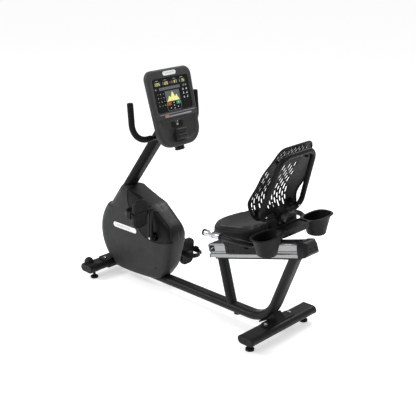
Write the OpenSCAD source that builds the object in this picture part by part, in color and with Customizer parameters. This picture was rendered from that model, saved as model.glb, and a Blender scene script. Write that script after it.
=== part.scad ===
// Recumbent exercise bike. Millimetres, +Z up, floor at z = 0, centre plane at y = 0.
// The rider sits at +X and faces -X, so -Y is the rider's left. "s" is a distance up the
// sloping seat rail from its front bottom edge, and "n" is the height square to the rail.

/* [Main frame] */
// Width of the flat-oval main tube
tube_w = 74; // [70:1:78]
// Height of the flat-oval main tube
tube_h = 48; // [46:1:50]
// Wall of the frame tubes
tube_wall = 3; // [2:0.5:4]
// Height of the main rail's centre line
rail_z = 64.5; // [64:0.5:66]
// Centre-line radius of the rear bend
bend_r = 185; // [180:1:190]
// Lean of the rear post back from upright
post_lean = 21.6; // [21:0.1:22.2]
// Width and thickness of the front seat post
front_post = [62, 46]; // [40:1:70]

/* [Stabilisers] */
// Section of the stabiliser tubes, length along X and height
stab_size = [102, 46]; // [40:1:110]
// Half length of the rear stabiliser with its caps
rear_stab_half = 262; // [250:1:280]
// Half length of the front stabiliser with its caps
front_stab_half = 238; // [230:1:250]
// Radius of the transport wheels
wheel_r = 30; // [28:1:30]

/* [Seat rail] */
// Slope of the seat rail
rail_slope = 15.7; // [15.5:0.1:15.9]
// Length of the aluminium seat rail
seat_rail_len = 635.5; // [630:0.5:640]
// Width over the rail's bottom flanges
seat_rail_w = 100; // [98:1:102]
// Height of the seat rail
seat_rail_h = 75; // [74:0.5:76]

/* [Seat] */
// Half width of the cushion
seat_half = 225; // [200:1:230]
// Height of the seat pan's underside
pan_z = 533; // [532:1:535]
// Half spacing of the side handles
handle_y = 267; // [262:1:270]
// Diameter of the side handle tube
handle_d = 28; // [25:1:30]
// Lean of the backrest frame back from upright
back_lean = 17.9; // [17:0.1:18.5]

/* [Drive] */
// Crank length from axle to pedal pin
crank_len = 170; // [165:1:175]
// Radius of the belt wheel on the crank axle
pulley_r = 84; // [80:1:85]
// Radius of the small belt wheel on the flywheel's shaft
rotor_pulley_r = 17; // [16:1:20]
// Radius of the flywheel
flywheel_r = 128; // [110:1:130]
// Half width of the shroud
shroud_half = 78; // [77:1:80]

/* [Console] */
// Lean of the console's face back from upright
console_lean = 15; // [14:0.5:16]
// Depth of the console from bezel to back
console_depth = 62; // [58:1:64]
// Diameter of the front handlebar
bar_d = 34; // [30:1:35]
// Thickness of the foam sleeves
foam_t = 4; // [3:0.5:5]

/* [Hidden] */
$fn = 64;
gap = 0.4;

charcoal = [0.19, 0.20, 0.21];
shroud_grey = [0.26, 0.27, 0.27];
near_black = [0.07, 0.07, 0.075];
alu = [0.80, 0.81, 0.82];
steel = [0.62, 0.63, 0.65];

// main frame stations
rail_front_x = -640;
bend_x = 389;
bend_angle = 90 - post_lean;
post_len = 330;
rail_top_z = rail_z + tube_h / 2;

// seat rail frame: bottom front edge of the extrusion
seat_rail_x = 143;
seat_rail_z = 326;
flange_h = 21;
front_post_s = 40.6;
under_plate_t = 12;

// stabilisers
rear_stab_x = 576;
rear_stab_z = 65;
front_stab_x = -701;
front_stab_z = 68;
stab_wall = 3;
bolt_y = 96;
bolt_r = 5;
foot_r = 23;
rear_foot_y = 220;
front_foot_y = 186;
front_foot_x = -690;
wheel_x = -727;
wheel_z = 90;
wheel_y = 191;
wheel_w = 24;
cap_y = 176;

// mast
mast_w = 82;
mast_t = 55;
mast_lean = 37.1;
mast_foot = [-664.6, 0, 425];
mast_start = 92;
mast_len = 670;
notch_z = 438;
plate_y = 33;
plate_t = 6;

// drive
crank_x = -270;
crank_z = 343;
crank_tilt = 2.7;
shaft_r = 8;
rotor_x = -540;
rotor_z = 262;
belt_y = 50;
belt_w = 16;
belt_t = 3;
idler_r = 20;
axle_r = 8.5;
bearing_r = 20;
arm_y = 98;
arm_t = 17;
pedal_y = 190;
pedal_lean = 4;
centre_gap = norm([crank_x - rotor_x, crank_z - rotor_z]);
belt_dir = atan2(rotor_z - crank_z, rotor_x - crank_x);
belt_tilt = asin((pulley_r - rotor_pulley_r) / centre_gap);
lower_normal = belt_dir + 90 - belt_tilt;

// seat, with the carriage along s
carriage_s = [130, 450];
carriage_y = 60;
side_plate_t = 6;
pan_t = 12;
lever_x = 398;
lever_z = 455;
lever_pin_r = 8;
handle_z = 577;
cross_x = 556;
cross_z = 540;
cushion_z = pan_z + pan_t + gap;

// backrest: bottom centre of the ring's outer edge, and sizes in its own plane
ring_x = 559;
ring_z = 657;
ring_h = 372;
ring_top = 141;
ring_bottom = 177;
ring_d = 28;
shell_t = 6;

// cup tray
tray_x = 649;
tray_z = 632;
cup_y = 197;
cup_depth = 102;

// console
console_x = -188.5;
console_z = 1162;
bezel_t = 28;
bar_x = -245;
bar_half = 241;
bar_top_z = 1137;
bar_low_z = 930;

// ---------------------------------------------------------------- shared shapes

// flat oval, w wide and h high
module flat_oval(w, h) {
  square([w - h, h], center = true);
  for (side = [-1, 1]) translate([side * (w - h) / 2, 0]) circle(d = h);
}

module oval_ring(w, h, wall) {
  difference() {
    flat_oval(w, h);
    flat_oval(w - 2 * wall, h - 2 * wall);
  }
}

// rectangle with round corners
module soft_rect(w, h, r) {
  square([w - 2 * r, h], center = true);
  square([w, h - 2 * r], center = true);
  for (x = [-1, 1], y = [-1, 1]) translate([x * (w / 2 - r), y * (h / 2 - r)]) circle(r = r);
}

module mirror_y() {
  children();
  mirror([0, 1, 0]) children();
}

// extrusion along +X of a profile drawn in (y, z)
module along_x(len) {
  rotate([90, 0, 90]) linear_extrude(len) children();
}

// extrusion along Y, centred, of a profile drawn in (x, z)
module along_y(len) {
  rotate([90, 0, 0]) linear_extrude(len, center = true) children();
}

// cylinder along Y from y0 to y1
module rod_y(r, y0, y1) {
  translate([0, y1, 0]) rotate([90, 0, 0]) cylinder(r = r, h = y1 - y0);
}

module seat_rail_frame() {
  translate([seat_rail_x, 0, seat_rail_z]) rotate([0, -rail_slope, 0]) children();
}

module console_frame() {
  translate([console_x, 0, console_z]) rotate([0, -console_lean, 0]) children();
}

module mast_frame() {
  translate(mast_foot) rotate([0, mast_lean, 0]) children();
}

module back_frame_plane() {
  translate([ring_x, 0, ring_z]) rotate([0, back_lean, 0]) children();
}

// a round tube through the points of a path; "side" is a direction never along it
function unit(v) = v / norm(v);
function path_dir(p, i) = unit(p[min(i + 1, len(p) - 1)] - p[max(i - 1, 0)]);
function ring_at(p, i, r, side, n) =
  let (t = path_dir(p, i), a = unit(cross(side, t)), b = cross(t, a))
  [for (k = [0:n - 1]) p[i] + r * (cos(360 * k / n) * a + sin(360 * k / n) * b)];
module sweep(p, r, side, n = 12) {
  points = [for (i = [0:len(p) - 1]) each ring_at(p, i, r, side, n)];
  last = (len(p) - 1) * n;
  faces = concat(
    [[for (k = [0:n - 1]) k]],
    [for (i = [0:len(p) - 2], k = [0:n - 1])
      [(i + 1) * n + k, (i + 1) * n + (k + 1) % n, i * n + (k + 1) % n, i * n + k]],
    [[for (k = [0:n - 1]) last + n - 1 - k]]);
  polyhedron(points, faces, convexity = 6);
}

// a sleeve of outer radius r and inner radius bore along a path
module sweep_sleeve(p, r, bore, side, n = 12) {
  m = len(p);
  points = concat([for (i = [0:m - 1]) each ring_at(p, i, r, side, n)],
    [for (i = [0:m - 1]) each ring_at(p, i, bore, side, n)]);
  inner = m * n;
  last = (m - 1) * n;
  faces = concat(
    [for (i = [0:m - 2], k = [0:n - 1]) let (q = (k + 1) % n, a = i * n, b = a + n)
      [b + k, b + q, a + q, a + k]],
    [for (i = [0:m - 2], k = [0:n - 1]) let (q = (k + 1) % n, a = inner + i * n, b = a + n)
      [a + k, a + q, b + q, b + k]],
    [for (k = [0:n - 1]) let (q = (k + 1) % n) [q, inner + q, inner + k, k]],
    [for (k = [0:n - 1]) let (q = (k + 1) % n)
      [last + k, inner + last + k, inner + last + q, last + q]]);
  polyhedron(points, faces, convexity = 6);
}

// the same tube along a path that closes on itself
function loop_dir(p, i) = unit(p[(i + 1) % len(p)] - p[(i + len(p) - 1) % len(p)]);
module sweep_loop(p, r, side, n = 12) {
  m = len(p);
  points = [for (i = [0:m - 1]) each
    let (t = loop_dir(p, i), a = unit(cross(side, t)), b = cross(t, a))
    [for (k = [0:n - 1]) p[i] + r * (cos(360 * k / n) * a + sin(360 * k / n) * b)]];
  faces = [for (i = [0:m - 1], k = [0:n - 1]) let (j = (i + 1) % m)
    [j * n + k, j * n + (k + 1) % n, i * n + (k + 1) % n, i * n + k]];
  polyhedron(points, faces, convexity = 6);
}

// corner c of a path, rounded from a towards b with radius r
function round_corner(a, c, b, r, steps = 6) =
  let (u = unit(a - c), v = unit(b - c), half = acos(u * v) / 2, cut = r / tan(half),
    m = c + unit(u + v) * r / sin(half), e = unit(c + u * cut - m), f0 = c + v * cut - m,
    f = unit(f0 - (f0 * e) * e), turn = 180 - 2 * half)
  [for (k = [0:steps]) m + r * (cos(turn * k / steps) * e + sin(turn * k / steps) * f)];

// ---------------------------------------------------------------- main frame

module rail_bar(grow = 0, wall = 0) {
  w = tube_w + 2 * grow;
  h = tube_h + 2 * grow;
  translate([rail_front_x, 0, rail_z]) along_x(bend_x - rail_front_x) {
    if (wall > 0) oval_ring(w, h, wall);
    else flat_oval(w, h);
  }
}

module rail_bend() {
  translate([bend_x, 0, rail_z + bend_r]) rotate([90, 0, 0]) rotate([0, 0, -90])
    rotate_extrude(angle = bend_angle, $fn = 96) translate([bend_r, 0]) rotate(90)
      oval_ring(tube_w, tube_h, tube_wall);
}

module rear_post() {
  end_x = bend_x + bend_r * sin(bend_angle);
  end_z = rail_z + bend_r * (1 - cos(bend_angle));
  difference() {
    translate([end_x, 0, end_z]) rotate([0, post_lean, 0]) translate([0, 0, -2])
      linear_extrude(post_len) rotate(90)
        oval_ring(tube_w + 0.8, tube_h + 0.8, tube_wall + 0.8);
    seat_rail_frame() translate([0, -100, -8]) cube([900, 200, 300]);
  }
}

module main_frame() {
  color(charcoal) {
    union() {
      rail_bar(wall = tube_wall);
      rail_bend();
      rear_post();
      seat_rail_frame() translate([500, -44, -8.5]) cube([112, 88, 8.5 - gap / 4]);
    }
  }
}

module front_seat_post() {
  color(charcoal) difference() {
    seat_rail_frame() translate([front_post_s, 0, -280])
      linear_extrude(280 - under_plate_t) rotate(90)
        oval_ring(front_post[0], front_post[1], tube_wall);
    rail_bar(grow = 0.05);
    translate([100, -100, 0]) cube([300, 200, rail_z + 10]);
  }
}

// ---------------------------------------------------------------- stabilisers

module bolt_holes(x, z) {
  for (side = [-1, 1]) translate([x, side * bolt_y, z]) cylinder(r = bolt_r + 0.3, h = 40);
}

module stabiliser(x, z, half, wheel_cut = false) {
  difference() {
    translate([x, 0, z]) along_y(2 * half) oval_ring(stab_size[0], stab_size[1], stab_wall);
    bolt_holes(x - 6 + (wheel_cut ? 14 : 0), z);
  }
}

module rear_stabiliser() {
  color(charcoal) stabiliser(rear_stab_x, rear_stab_z, rear_stab_half - 8);
}

module front_stabiliser() {
  color(charcoal) stabiliser(front_stab_x, front_stab_z, cap_y, true);
}

// saddle plate, tongue under the bend and sloping gusset behind the post
module rear_saddle() {
  top = rear_stab_z + stab_size[1] / 2;
  difference() {
    union() {
      translate([rear_stab_x - 5, 0, top + gap / 4]) linear_extrude(5) soft_rect(62, 236, 28);
      along_y(66) polygon([[474, 50], [530, 84], [530, top + 5], [597, top + 5],
        [557, 131], [500, 90], [466, 60]]);
    }
    translate([bend_x, 0, rail_z + bend_r]) rotate([90, 0, 0])
      cylinder(r = bend_r + tube_h / 2 + gap, h = 200, center = true, $fn = 180);
    bolt_holes(rear_stab_x - 6, top - 3);
    translate([rear_stab_x, 0, rear_stab_z]) along_y(300)
      flat_oval(stab_size[0] + gap / 2, stab_size[1] + gap / 5);
  }
}

// sleeve round the front stabiliser with a bolted tab on top
module front_sleeve() {
  top = front_stab_z + stab_size[1] / 2;
  difference() {
    union() {
      translate([front_stab_x, 0, front_stab_z]) along_y(190)
        flat_oval(stab_size[0] + 14, stab_size[1] + 14);
      translate([front_stab_x + 10, 0, top + gap / 4]) linear_extrude(7) soft_rect(66, 246, 14);
      translate([front_stab_x + 40, -34, 42]) cube([rail_front_x - front_stab_x - 40, 68, 46]);
    }
    translate([front_stab_x, 0, front_stab_z]) along_y(300)
      flat_oval(stab_size[0] + gap / 2, stab_size[1] + gap / 5);
    bolt_holes(front_stab_x + 8, top - 3);
  }
}

module stabiliser_brackets() {
  color(charcoal) {
    rear_saddle();
    front_sleeve();
  }
}

module rear_cap() {
  translate([rear_stab_x, rear_stab_half - 8, rear_stab_z]) rotate([-90, 0, 0])
    difference() {
      union() {
        linear_extrude(5) flat_oval(stab_size[0] + 2, stab_size[1] + 2);
        translate([0, 0, 5]) linear_extrude(3) flat_oval(stab_size[0] - 5, stab_size[1] - 5);
      }
      translate([0, 0, 5]) cylinder(r = 4, h = 8);
    }
}

// moulded end housing with the transport wheel in a slot at its top front
module wheel_housing() {
  depth = front_stab_half - cap_y;
  difference() {
    union() {
      translate([front_stab_x, cap_y + gap / 4, front_stab_z]) rotate([-90, 0, 0])
        linear_extrude(depth - 5) flat_oval(stab_size[0], stab_size[1] + 6);
      translate([front_stab_x, front_stab_half - 5, front_stab_z]) rotate([-90, 0, 0])
        linear_extrude(5) flat_oval(stab_size[0] - 8, stab_size[1] - 2);
      translate([wheel_x, 0, wheel_z]) {
        rod_y(25, wheel_y - wheel_w / 2 - 3, wheel_y - wheel_w / 2 - 1);
        rod_y(25, wheel_y + wheel_w / 2 + 1, wheel_y + wheel_w / 2 + 6);
      }
    }
    translate([wheel_x, 0, wheel_z])
      rod_y(wheel_r + 2, wheel_y - wheel_w / 2 - 1, wheel_y + wheel_w / 2 + 1);
    translate([front_stab_x, front_stab_half - 4, front_stab_z]) rod_y(4, 0, 8);
  }
  translate([wheel_x, 0, wheel_z]) rod_y(6, wheel_y - wheel_w / 2 - 1, wheel_y + wheel_w / 2 + 1);
}

module stabiliser_caps() {
  color(near_black) mirror_y() {
    rear_cap();
    wheel_housing();
  }
}

module cap_screw(x, z) {
  for (side = [-1, 1]) translate([x, side * bolt_y, z]) {
    difference() {
      union() {
        cylinder(r = 9, h = 5);
        translate([0, 0, 5]) cylinder(r1 = 9, r2 = 6.5, h = 2);
      }
      translate([0, 0, 3]) cylinder(r = 3.5, h = 6, $fn = 6);
    }
    translate([0, 0, -14]) cylinder(r = bolt_r, h = 14);
  }
}

module stabiliser_bolts() {
  color(alu) {
    cap_screw(rear_stab_x - 6, rear_stab_z + stab_size[1] / 2 + 5 + gap / 4);
    cap_screw(front_stab_x + 8, front_stab_z + stab_size[1] / 2 + 7 + gap / 4);
  }
}

module foot(x, y, top) {
  translate([x, y, 0]) {
    cylinder(r = foot_r, h = 10);
    translate([0, 0, 10]) cylinder(r1 = foot_r, r2 = 14, h = 6);
    translate([0, 0, 16]) cylinder(r = 8, h = top - 16);
  }
}

module levelling_feet() {
  color(near_black) {
    mirror_y() {
      foot(rear_stab_x - 4, rear_foot_y, rear_stab_z - stab_size[1] / 2);
      foot(front_foot_x, front_foot_y, front_stab_z - stab_size[1] / 2 - 3);
    }
    translate([295, 0, rail_z - tube_h / 2 - 11]) {
      cylinder(r = 20, h = 8);
      translate([0, 0, 8]) cylinder(r = 12, h = 3);
    }
  }
}

module transport_wheel(side) {
  color(near_black) translate([wheel_x, side * wheel_y, wheel_z]) rotate([90, 0, 0])
    difference() {
      union() {
        cylinder(r = wheel_r, h = wheel_w - 6, center = true);
        cylinder(r = wheel_r - 4, h = wheel_w - 1, center = true);
      }
      cylinder(r = 6.08, h = wheel_w + 2, center = true);
    }
}

module transport_wheel_left() {
  transport_wheel(-1);
}

module transport_wheel_right() {
  transport_wheel(1);
}

// ---------------------------------------------------------------- drive frame and mast

// side plate that carries the crank bearings and the flywheel axle
module drive_plate() {
  rotate([90, 0, 0]) linear_extrude(plate_t) difference() {
    polygon([[-632, rail_top_z + 0.2], [-264, rail_top_z + 0.2], [-238, crank_z],
      [-256, crank_z + 34], [-300, crank_z + 34], [-540, 440], [-560, 500], [-600, 520],
      [-645, 450], [-640, 150]]);
    translate([crank_x, crank_z]) circle(r = bearing_r + 3);
    translate([rotor_x, rotor_z]) circle(r = shaft_r + 0.05);
    translate([-400, 180]) circle(r = 52);
  }
}

module drive_frame() {
  color(charcoal) {
    difference() {
      union() {
        mirror_y() translate([0, plate_y, 0]) drive_plate();
        translate([-632, -plate_y, rail_top_z + 0.2]) cube([366, 2 * plate_y, 5]);
      }
      mast_frame() translate([-150, -100, mast_start - 8]) cube([300, 200, 300]);
    }
    translate([crank_x, 0, crank_z]) difference() {
      rod_y(bearing_r + 3, -plate_y, plate_y);
      rod_y(bearing_r + 0.03, -plate_y - 1, plate_y + 1);
    }
    mast_frame() {
      translate([0, 0, mast_start - 8]) linear_extrude(8) rotate(90)
        flat_oval(mast_w - 1, mast_t - 1);
      translate([0, 0, mast_start]) linear_extrude(110) rotate(90)
        oval_ring(mast_w - 6.8, mast_t - 6.8, 4);
    }
    idler_stud();
  }
}

function idler_pos() =
  let (r = pulley_r + belt_t + 0.6 + idler_r, along = centre_gap * 0.62)
  [crank_x + r * cos(lower_normal) + along * cos(lower_normal - 90),
   crank_z + r * sin(lower_normal) + along * sin(lower_normal - 90)];

module idler_stud() {
  translate([idler_pos()[0], 0, idler_pos()[1]]) {
    rod_y(6, plate_y - 1, belt_y + belt_w / 2 + 2);
    rod_y(10, plate_y - 1, belt_y - belt_w / 2 - 2);
  }
}

module console_mast() {
  color(charcoal) mast_frame() translate([0, 0, mast_start + gap / 4]) linear_extrude(mast_len)
    rotate(90) oval_ring(mast_w, mast_t, 3);
}

// ---------------------------------------------------------------- handlebar

bar_top = [bar_x - 11, -bar_half, bar_top_z];
bar_corner = [bar_x + 5, -bar_half, bar_low_z];
bar_middle = [bar_x + 13, 0, bar_low_z];
bar_bend = round_corner(bar_top, bar_corner, bar_middle, 95, 8);
function mirrored(p) = [for (i = [len(p) - 1:-1:0]) [p[i][0], -p[i][1], p[i][2]]];
bar_path = concat([bar_top], bar_bend, [bar_middle + [0, -50, 0]],
  mirrored(concat([bar_top], bar_bend, [bar_middle + [0, -50, 0]])));

module handlebar() {
  color(near_black) sweep(bar_path, bar_d / 2 - foam_t, [1, 0, 0], 16);
}

// foam sleeve over each upright and round its bend
grip_path = concat([bar_top], bar_bend,
  [bar_bend[8] + 0.35 * (bar_middle + [0, -50, 0] - bar_bend[8])]);

module handlebar_grips() {
  color(near_black) mirror_y() sweep_sleeve(grip_path, bar_d / 2, bar_d / 2 - foam_t + 0.1, [1, 0, 0], 16);
}

module handlebar_clamp() {
  color(charcoal) difference() {
    translate([bar_x - 32, -46, bar_low_z - 30]) cube([62, 92, 58]);
    translate(bar_middle) rod_y(bar_d / 2 - foam_t + 0.2, -60, 60);
    mast_frame() linear_extrude(900) rotate(90) flat_oval(mast_w + 0.4, mast_t + 0.4);
    translate([bar_x - 90, -60, bar_low_z - 60]) cube([44, 120, 120]);
  }
}

// ---------------------------------------------------------------- shroud

// disc whose rim is a half ellipse: the rim's depth is "edge"
module pillow(x, z, r, edge, half, skin = 0) {
  ry = half - skin;
  translate([x, 0, z]) rotate([90, 0, 0]) rotate_extrude($fn = 48) polygon(concat(
    [[0, -ry]],
    [for (a = [-90:22.5:90]) [max(r - skin - edge * (1 - cos(a)), 1), ry * sin(a)]],
    [[0, ry]]));
}

module shroud_body(skin = 0) {
  difference() {
    hull() {
      pillow(-522.4, 270, 256, 96, shroud_half, skin);
      pillow(-545, 473, 112, 96, shroud_half, skin);
      pillow(-512, 552, 31, 8, shroud_half - 2, skin);
      pillow(-368, 398, 126, 12, shroud_half - 1, skin);
      pillow(-245, 345, 98, 22, shroud_half - 6, skin);
      pillow(-292, 200, 104, 22, shroud_half - 9, skin);
      pillow(-275, 88, 18, 10, shroud_half - 14, skin);
    }
    translate([-900, -150, -50]) cube([800, 300, 50 + 62 + skin]);
    intersection() {
      mast_frame() translate([-331 + skin, -150, -100]) cube([300, 300, 400]);
      translate([-900, -150, notch_z - skin]) cube([400, 300, 300]);
    }
  }
}

module shroud_openings() {
  rail_bar(grow = 1.5);
  translate([-800, -124, 0]) cube([800 - 634, 248, 108]);
  mast_frame() linear_extrude(600) rotate(90) flat_oval(mast_w + 3, mast_t + 3);
  translate([crank_x, 0, crank_z]) rod_y(27, -150, 150);
}

cover_edge = [[-499, 660], [-499, 575], [-395, 541], [-293, 493], [-200, 443], [-165, 385],
  [-152, 326], [-60, 326], [-60, 660]];
insert_edge = [[-499, 574], [-482, 473], [-420, 372], [-350, 318], [-254, 306], [-153, 325],
  [-166, 384], [-201, 442], [-294, 492], [-396, 540]];

module shroud_shell() {
  difference() {
    shroud_body();
    shroud_body(3);
    shroud_openings();
  }
}

module prism(outline, y0, y1) {
  translate([0, y1, 0]) rotate([90, 0, 0]) linear_extrude(y1 - y0) polygon(outline);
}

module shroud_half_shell(side) {
  color(shroud_grey) difference() {
    shroud_shell();
    prism(cover_edge, -150, 150);
    prism(insert_edge, side > 0 ? 40 : -150, side > 0 ? 150 : -40);
    translate([-900, side > 0 ? -300 + gap / 2 : -gap / 2, 0]) cube([800, 300, 700]);
  }
}

module shroud_left() {
  shroud_half_shell(-1);
}

module shroud_right() {
  shroud_half_shell(1);
}

module shroud_top_cover() {
  color([0.16, 0.16, 0.165]) intersection() {
    shroud_shell();
    prism([for (p = cover_edge) p + [0.3, 0.3]], -150, 150);
  }
}

module side_inserts() {
  color([0.11, 0.11, 0.115]) intersection() {
    shroud_shell();
    mirror_y() prism([for (p = insert_edge) 0.994 * p + 0.006 * [-330, 410]], 42, 150);
  }
}

module stadium_plate(len, high, t) {
  along_y(t) flat_oval(len, high);
}

module badges() {
  color([0.85, 0.86, 0.86]) {
    mirror_y() translate([-521, shroud_half + 0.8, 334]) stadium_plate(200, 31, 1.4);
    console_frame() translate([7.2, 0, 112]) along_x(1.6) flat_oval(96, 23);
  }
}

module shroud_screws() {
  color(near_black) mirror_y() {
    translate([-270, 0, 147]) rod_y(5, shroud_half - 6.6, shroud_half - 4.9);
    translate([-448, 0, 501]) rod_y(5, shroud_half, shroud_half + 1.4);
  }
}

// ---------------------------------------------------------------- cranks, pedals and drive

module crank_axle() {
  color(steel) translate([crank_x, 0, crank_z]) {
    rod_y(axle_r, -arm_y - arm_t + 2, arm_y + arm_t - 2);
    rod_y(14, 22.2, 24);
    rod_y(14, -24, -22.2);
  }
}

module crank_bearings() {
  color(steel) mirror_y() translate([crank_x, 0, crank_z]) difference() {
    rod_y(bearing_r, 24.2, plate_y);
    rod_y(axle_r + 0.03, 24, plate_y + 1);
  }
}

module drive_pulley() {
  color(near_black) translate([crank_x, 0, crank_z]) difference() {
    union() {
      rod_y(pulley_r, belt_y - belt_w / 2, belt_y + belt_w / 2);
      rod_y(18, plate_y + 4, belt_y + belt_w / 2 + 4);
    }
    rod_y(axle_r + 0.03, 0, 100);
    for (side = [-1, 1]) difference() {
      rod_y(pulley_r - 10, belt_y + side * 4 - 2, belt_y + side * 8 + 4);
      rod_y(24, 0, 100);
    }
    for (a = [0:60:300]) rotate([0, a, 0]) translate([49, 0, 0]) rod_y(17, 0, 100);
  }
}

module belt_outline(extra) {
  hull() {
    translate([crank_x, crank_z]) circle(r = pulley_r + extra, $fn = 72);
    translate([rotor_x, rotor_z]) circle(r = rotor_pulley_r + extra, $fn = 48);
  }
}

module drive_belt() {
  color([0.05, 0.05, 0.05]) translate([0, belt_y, 0]) along_y(belt_w - 2) difference() {
    belt_outline(belt_t + 0.3);
    belt_outline(0.3);
  }
}

module flywheel() {
  color(steel) translate([rotor_x, 0, rotor_z]) difference() {
    union() {
      rod_y(flywheel_r, -14, 14);
      rod_y(26, -24, 24);
    }
    for (side = [-1, 1]) difference() {
      rod_y(flywheel_r - 26, side * 14 - 6, side * 14 + 6);
      rod_y(40, -40, 40);
    }
    rod_y(shaft_r + 0.03, -60, 100);
  }
}

// shaft pressed into the flywheel, with the small belt wheel outside the plate
module flywheel_axle() {
  color(steel) translate([rotor_x, 0, rotor_z]) {
    rod_y(shaft_r, -plate_y - 4, belt_y + belt_w / 2 + 2);
    rod_y(13, -plate_y - 4, -plate_y - 0.5);
    rod_y(rotor_pulley_r, belt_y - belt_w / 2, belt_y + belt_w / 2);
    rod_y(11, plate_y + 0.5, belt_y - belt_w / 2);
  }
}

module belt_idler() {
  color(near_black) translate([idler_pos()[0], 0, idler_pos()[1]]) difference() {
    rod_y(idler_r, belt_y - belt_w / 2, belt_y + belt_w / 2);
    rod_y(6.06, 0, 100);
  }
}

// arm from the axle to the pedal pin, drawn pointing up from the origin
module arm_shape() {
  difference() {
    union() {
      translate([0, arm_t, 0]) rotate([90, 0, 0]) linear_extrude(arm_t) {
        circle(r = 19);
        translate([0, crank_len]) circle(r = 14);
        polygon([[-15, 0], [15, 0], [12, crank_len], [-12, crank_len]]);
      }
      rod_y(21, -12, 2);
    }
    rod_y(axle_r + 0.03, -20, arm_t + 1);
    rod_y(13, arm_t - 3, arm_t + 1);
    translate([0, 0, crank_len]) rod_y(7.02, -2, arm_t + 2);
  }
}

module crank_arm_left() {
  color([0.13, 0.13, 0.135]) translate([crank_x, -arm_y, crank_z]) rotate([0, crank_tilt, 0])
    mirror([0, 1, 0]) arm_shape();
}

module crank_arm_right() {
  color([0.13, 0.13, 0.135]) translate([crank_x, arm_y, crank_z])
    rotate([0, 180 + crank_tilt, 0]) arm_shape();
}

module crank_bolts() {
  color(alu) mirror_y() translate([crank_x, 0, crank_z])
    rod_y(12.4, arm_y + arm_t - 1.9, arm_y + arm_t + 2);
}

// pedal pin centres: the left one is up and the right one is down at rest
function pin(side) = [crank_x - side * crank_len * sin(crank_tilt),
  crank_z - side * crank_len * cos(crank_tilt)];

module pedal_spindles() {
  color(steel) for (side = [-1, 1]) translate([pin(side)[0], 0, pin(side)[1]])
    mirror([0, side < 0 ? 1 : 0, 0]) {
      rod_y(7, arm_y - 3, pedal_y + 40);
      rod_y(12, arm_y + arm_t + 0.2, arm_y + arm_t + 5);
    }
}

// foot plate drawn with its tread facing +X, centred on the pin
module foot_plate() {
  difference() {
    union() {
      translate([-12, 0, 0]) along_x(24) hull()
        for (y = [-16, 16], z = [-48, 48]) translate([y, z]) circle(r = 32, $fn = 32);
      rod_y(12, -56, 56);
      rod_y(17, -62, -53);
    }
    rod_y(7.08, -64, 43);
  }
}

module pedal(side) {
  color([0.12, 0.12, 0.12]) translate([pin(side)[0], side * pedal_y, pin(side)[1]])
    rotate([0, pedal_lean + (side < 0 ? 180 : 0), 0]) mirror([0, side < 0 ? 1 : 0, 0])
      foot_plate();
}

module pedal_left() {
  pedal(-1);
}

module pedal_right() {
  pedal(1);
}

// strap: an arch over the instep, buckle block at its outer foot and a loose tail
module strap(side) {
  color(near_black) translate([pin(side)[0], side * pedal_y, pin(side)[1]])
    rotate([0, pedal_lean + (side < 0 ? 180 : 0), 0]) mirror([0, side < 0 ? 1 : 0, 0]) {
      translate([0, 0, -10]) linear_extrude(34) difference() {
        union() {
          translate([12.3, -47]) square([34, 5]);
          translate([12.3, 42]) square([34, 5]);
          translate([46, 0]) circle(r = 47);
        }
        translate([46, 0]) circle(r = 42);
        translate([12, -42]) square([34, 84]);
        translate([-60, -60]) square([72.3, 120]);
        translate([12, -60]) square([33, 13]);
        translate([12, 47]) square([33, 13]);
      }
      translate([16, 47, -13]) cube([30, 9, 40]);
      translate([40, 49, -6]) rotate([0, 0, -20]) cube([50, 4, 26]);
    }
}

module pedal_strap_left() {
  strap(-1);
}

module pedal_strap_right() {
  strap(1);
}

// ---------------------------------------------------------------- seat rail

module rail_profile() {
  difference() {
    union() {
      translate([0, flange_h / 2]) soft_rect(seat_rail_w, flange_h, 4);
      translate([0, 26]) square([80, 20], center = true);
      translate([0, (28 + seat_rail_h) / 2]) soft_rect(92, seat_rail_h - 28, 12);
    }
    translate([0, 37]) soft_rect(66, 42, 4);
    translate([0, seat_rail_h - 3]) square([62, 8], center = true);
    for (side = [-1, 1]) translate([side * 41, flange_h / 2]) soft_rect(11, 13, 2);
  }
}

module seat_rail() {
  color(alu) seat_rail_frame() along_x(seat_rail_len) rail_profile();
}

module rail_track() {
  color(near_black) seat_rail_frame() translate([6, 0, seat_rail_h - 6.8]) difference() {
    along_x(seat_rail_len - 36) translate([0, 3.4]) square([61.4, 6.8], center = true);
    for (y = [-20, 0, 20]) translate([-1, y - 3, 4]) cube([seat_rail_len, 6, 4]);
  }
}

module cap_profile(inset) {
  polygon([[-56 + inset, 2 + inset], [56 - inset, 2 + inset], [57 - inset, 8 + inset],
    [54 - inset, 50], [44 - inset, seat_rail_h + 2 - inset], [-44 + inset, seat_rail_h + 2 - inset],
    [-54 + inset, 50], [-57 + inset, 8 + inset]]);
}

module rail_end_caps() {
  color([0.2, 0.2, 0.21]) seat_rail_frame() {
    difference() {
      hull() {
        translate([seat_rail_len - 26, 0, 0]) along_x(40) cap_profile(0);
        translate([seat_rail_len + 14, 0, 0]) along_x(8) cap_profile(5);
        translate([seat_rail_len + 22, 0, 0]) along_x(7) cap_profile(14);
      }
      translate([seat_rail_len - 30, 0, 0]) along_x(30.3) union() {
        translate([0, flange_h / 2 - 3]) square([seat_rail_w + 0.6, flange_h + 6.6], center = true);
        translate([0, 52]) square([92.6, 46.6], center = true);
        translate([0, 26]) square([92.6, 20], center = true);
      }
      for (y = [-17, 17]) translate([seat_rail_len + 18, y, 39]) rotate([0, 90, 0])
        cylinder(r = 4, h = 20);
    }
    translate([-5, 0, 0]) along_x(4.8) difference() {
      union() {
        translate([0, flange_h / 2]) soft_rect(seat_rail_w + 2, flange_h + 1, 4);
        translate([0, 26]) square([82, 20], center = true);
        translate([0, (28 + seat_rail_h) / 2]) soft_rect(94, seat_rail_h - 27, 12);
      }
      translate([0, 37]) soft_rect(58, 38, 4);
    }
  }
}

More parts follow.
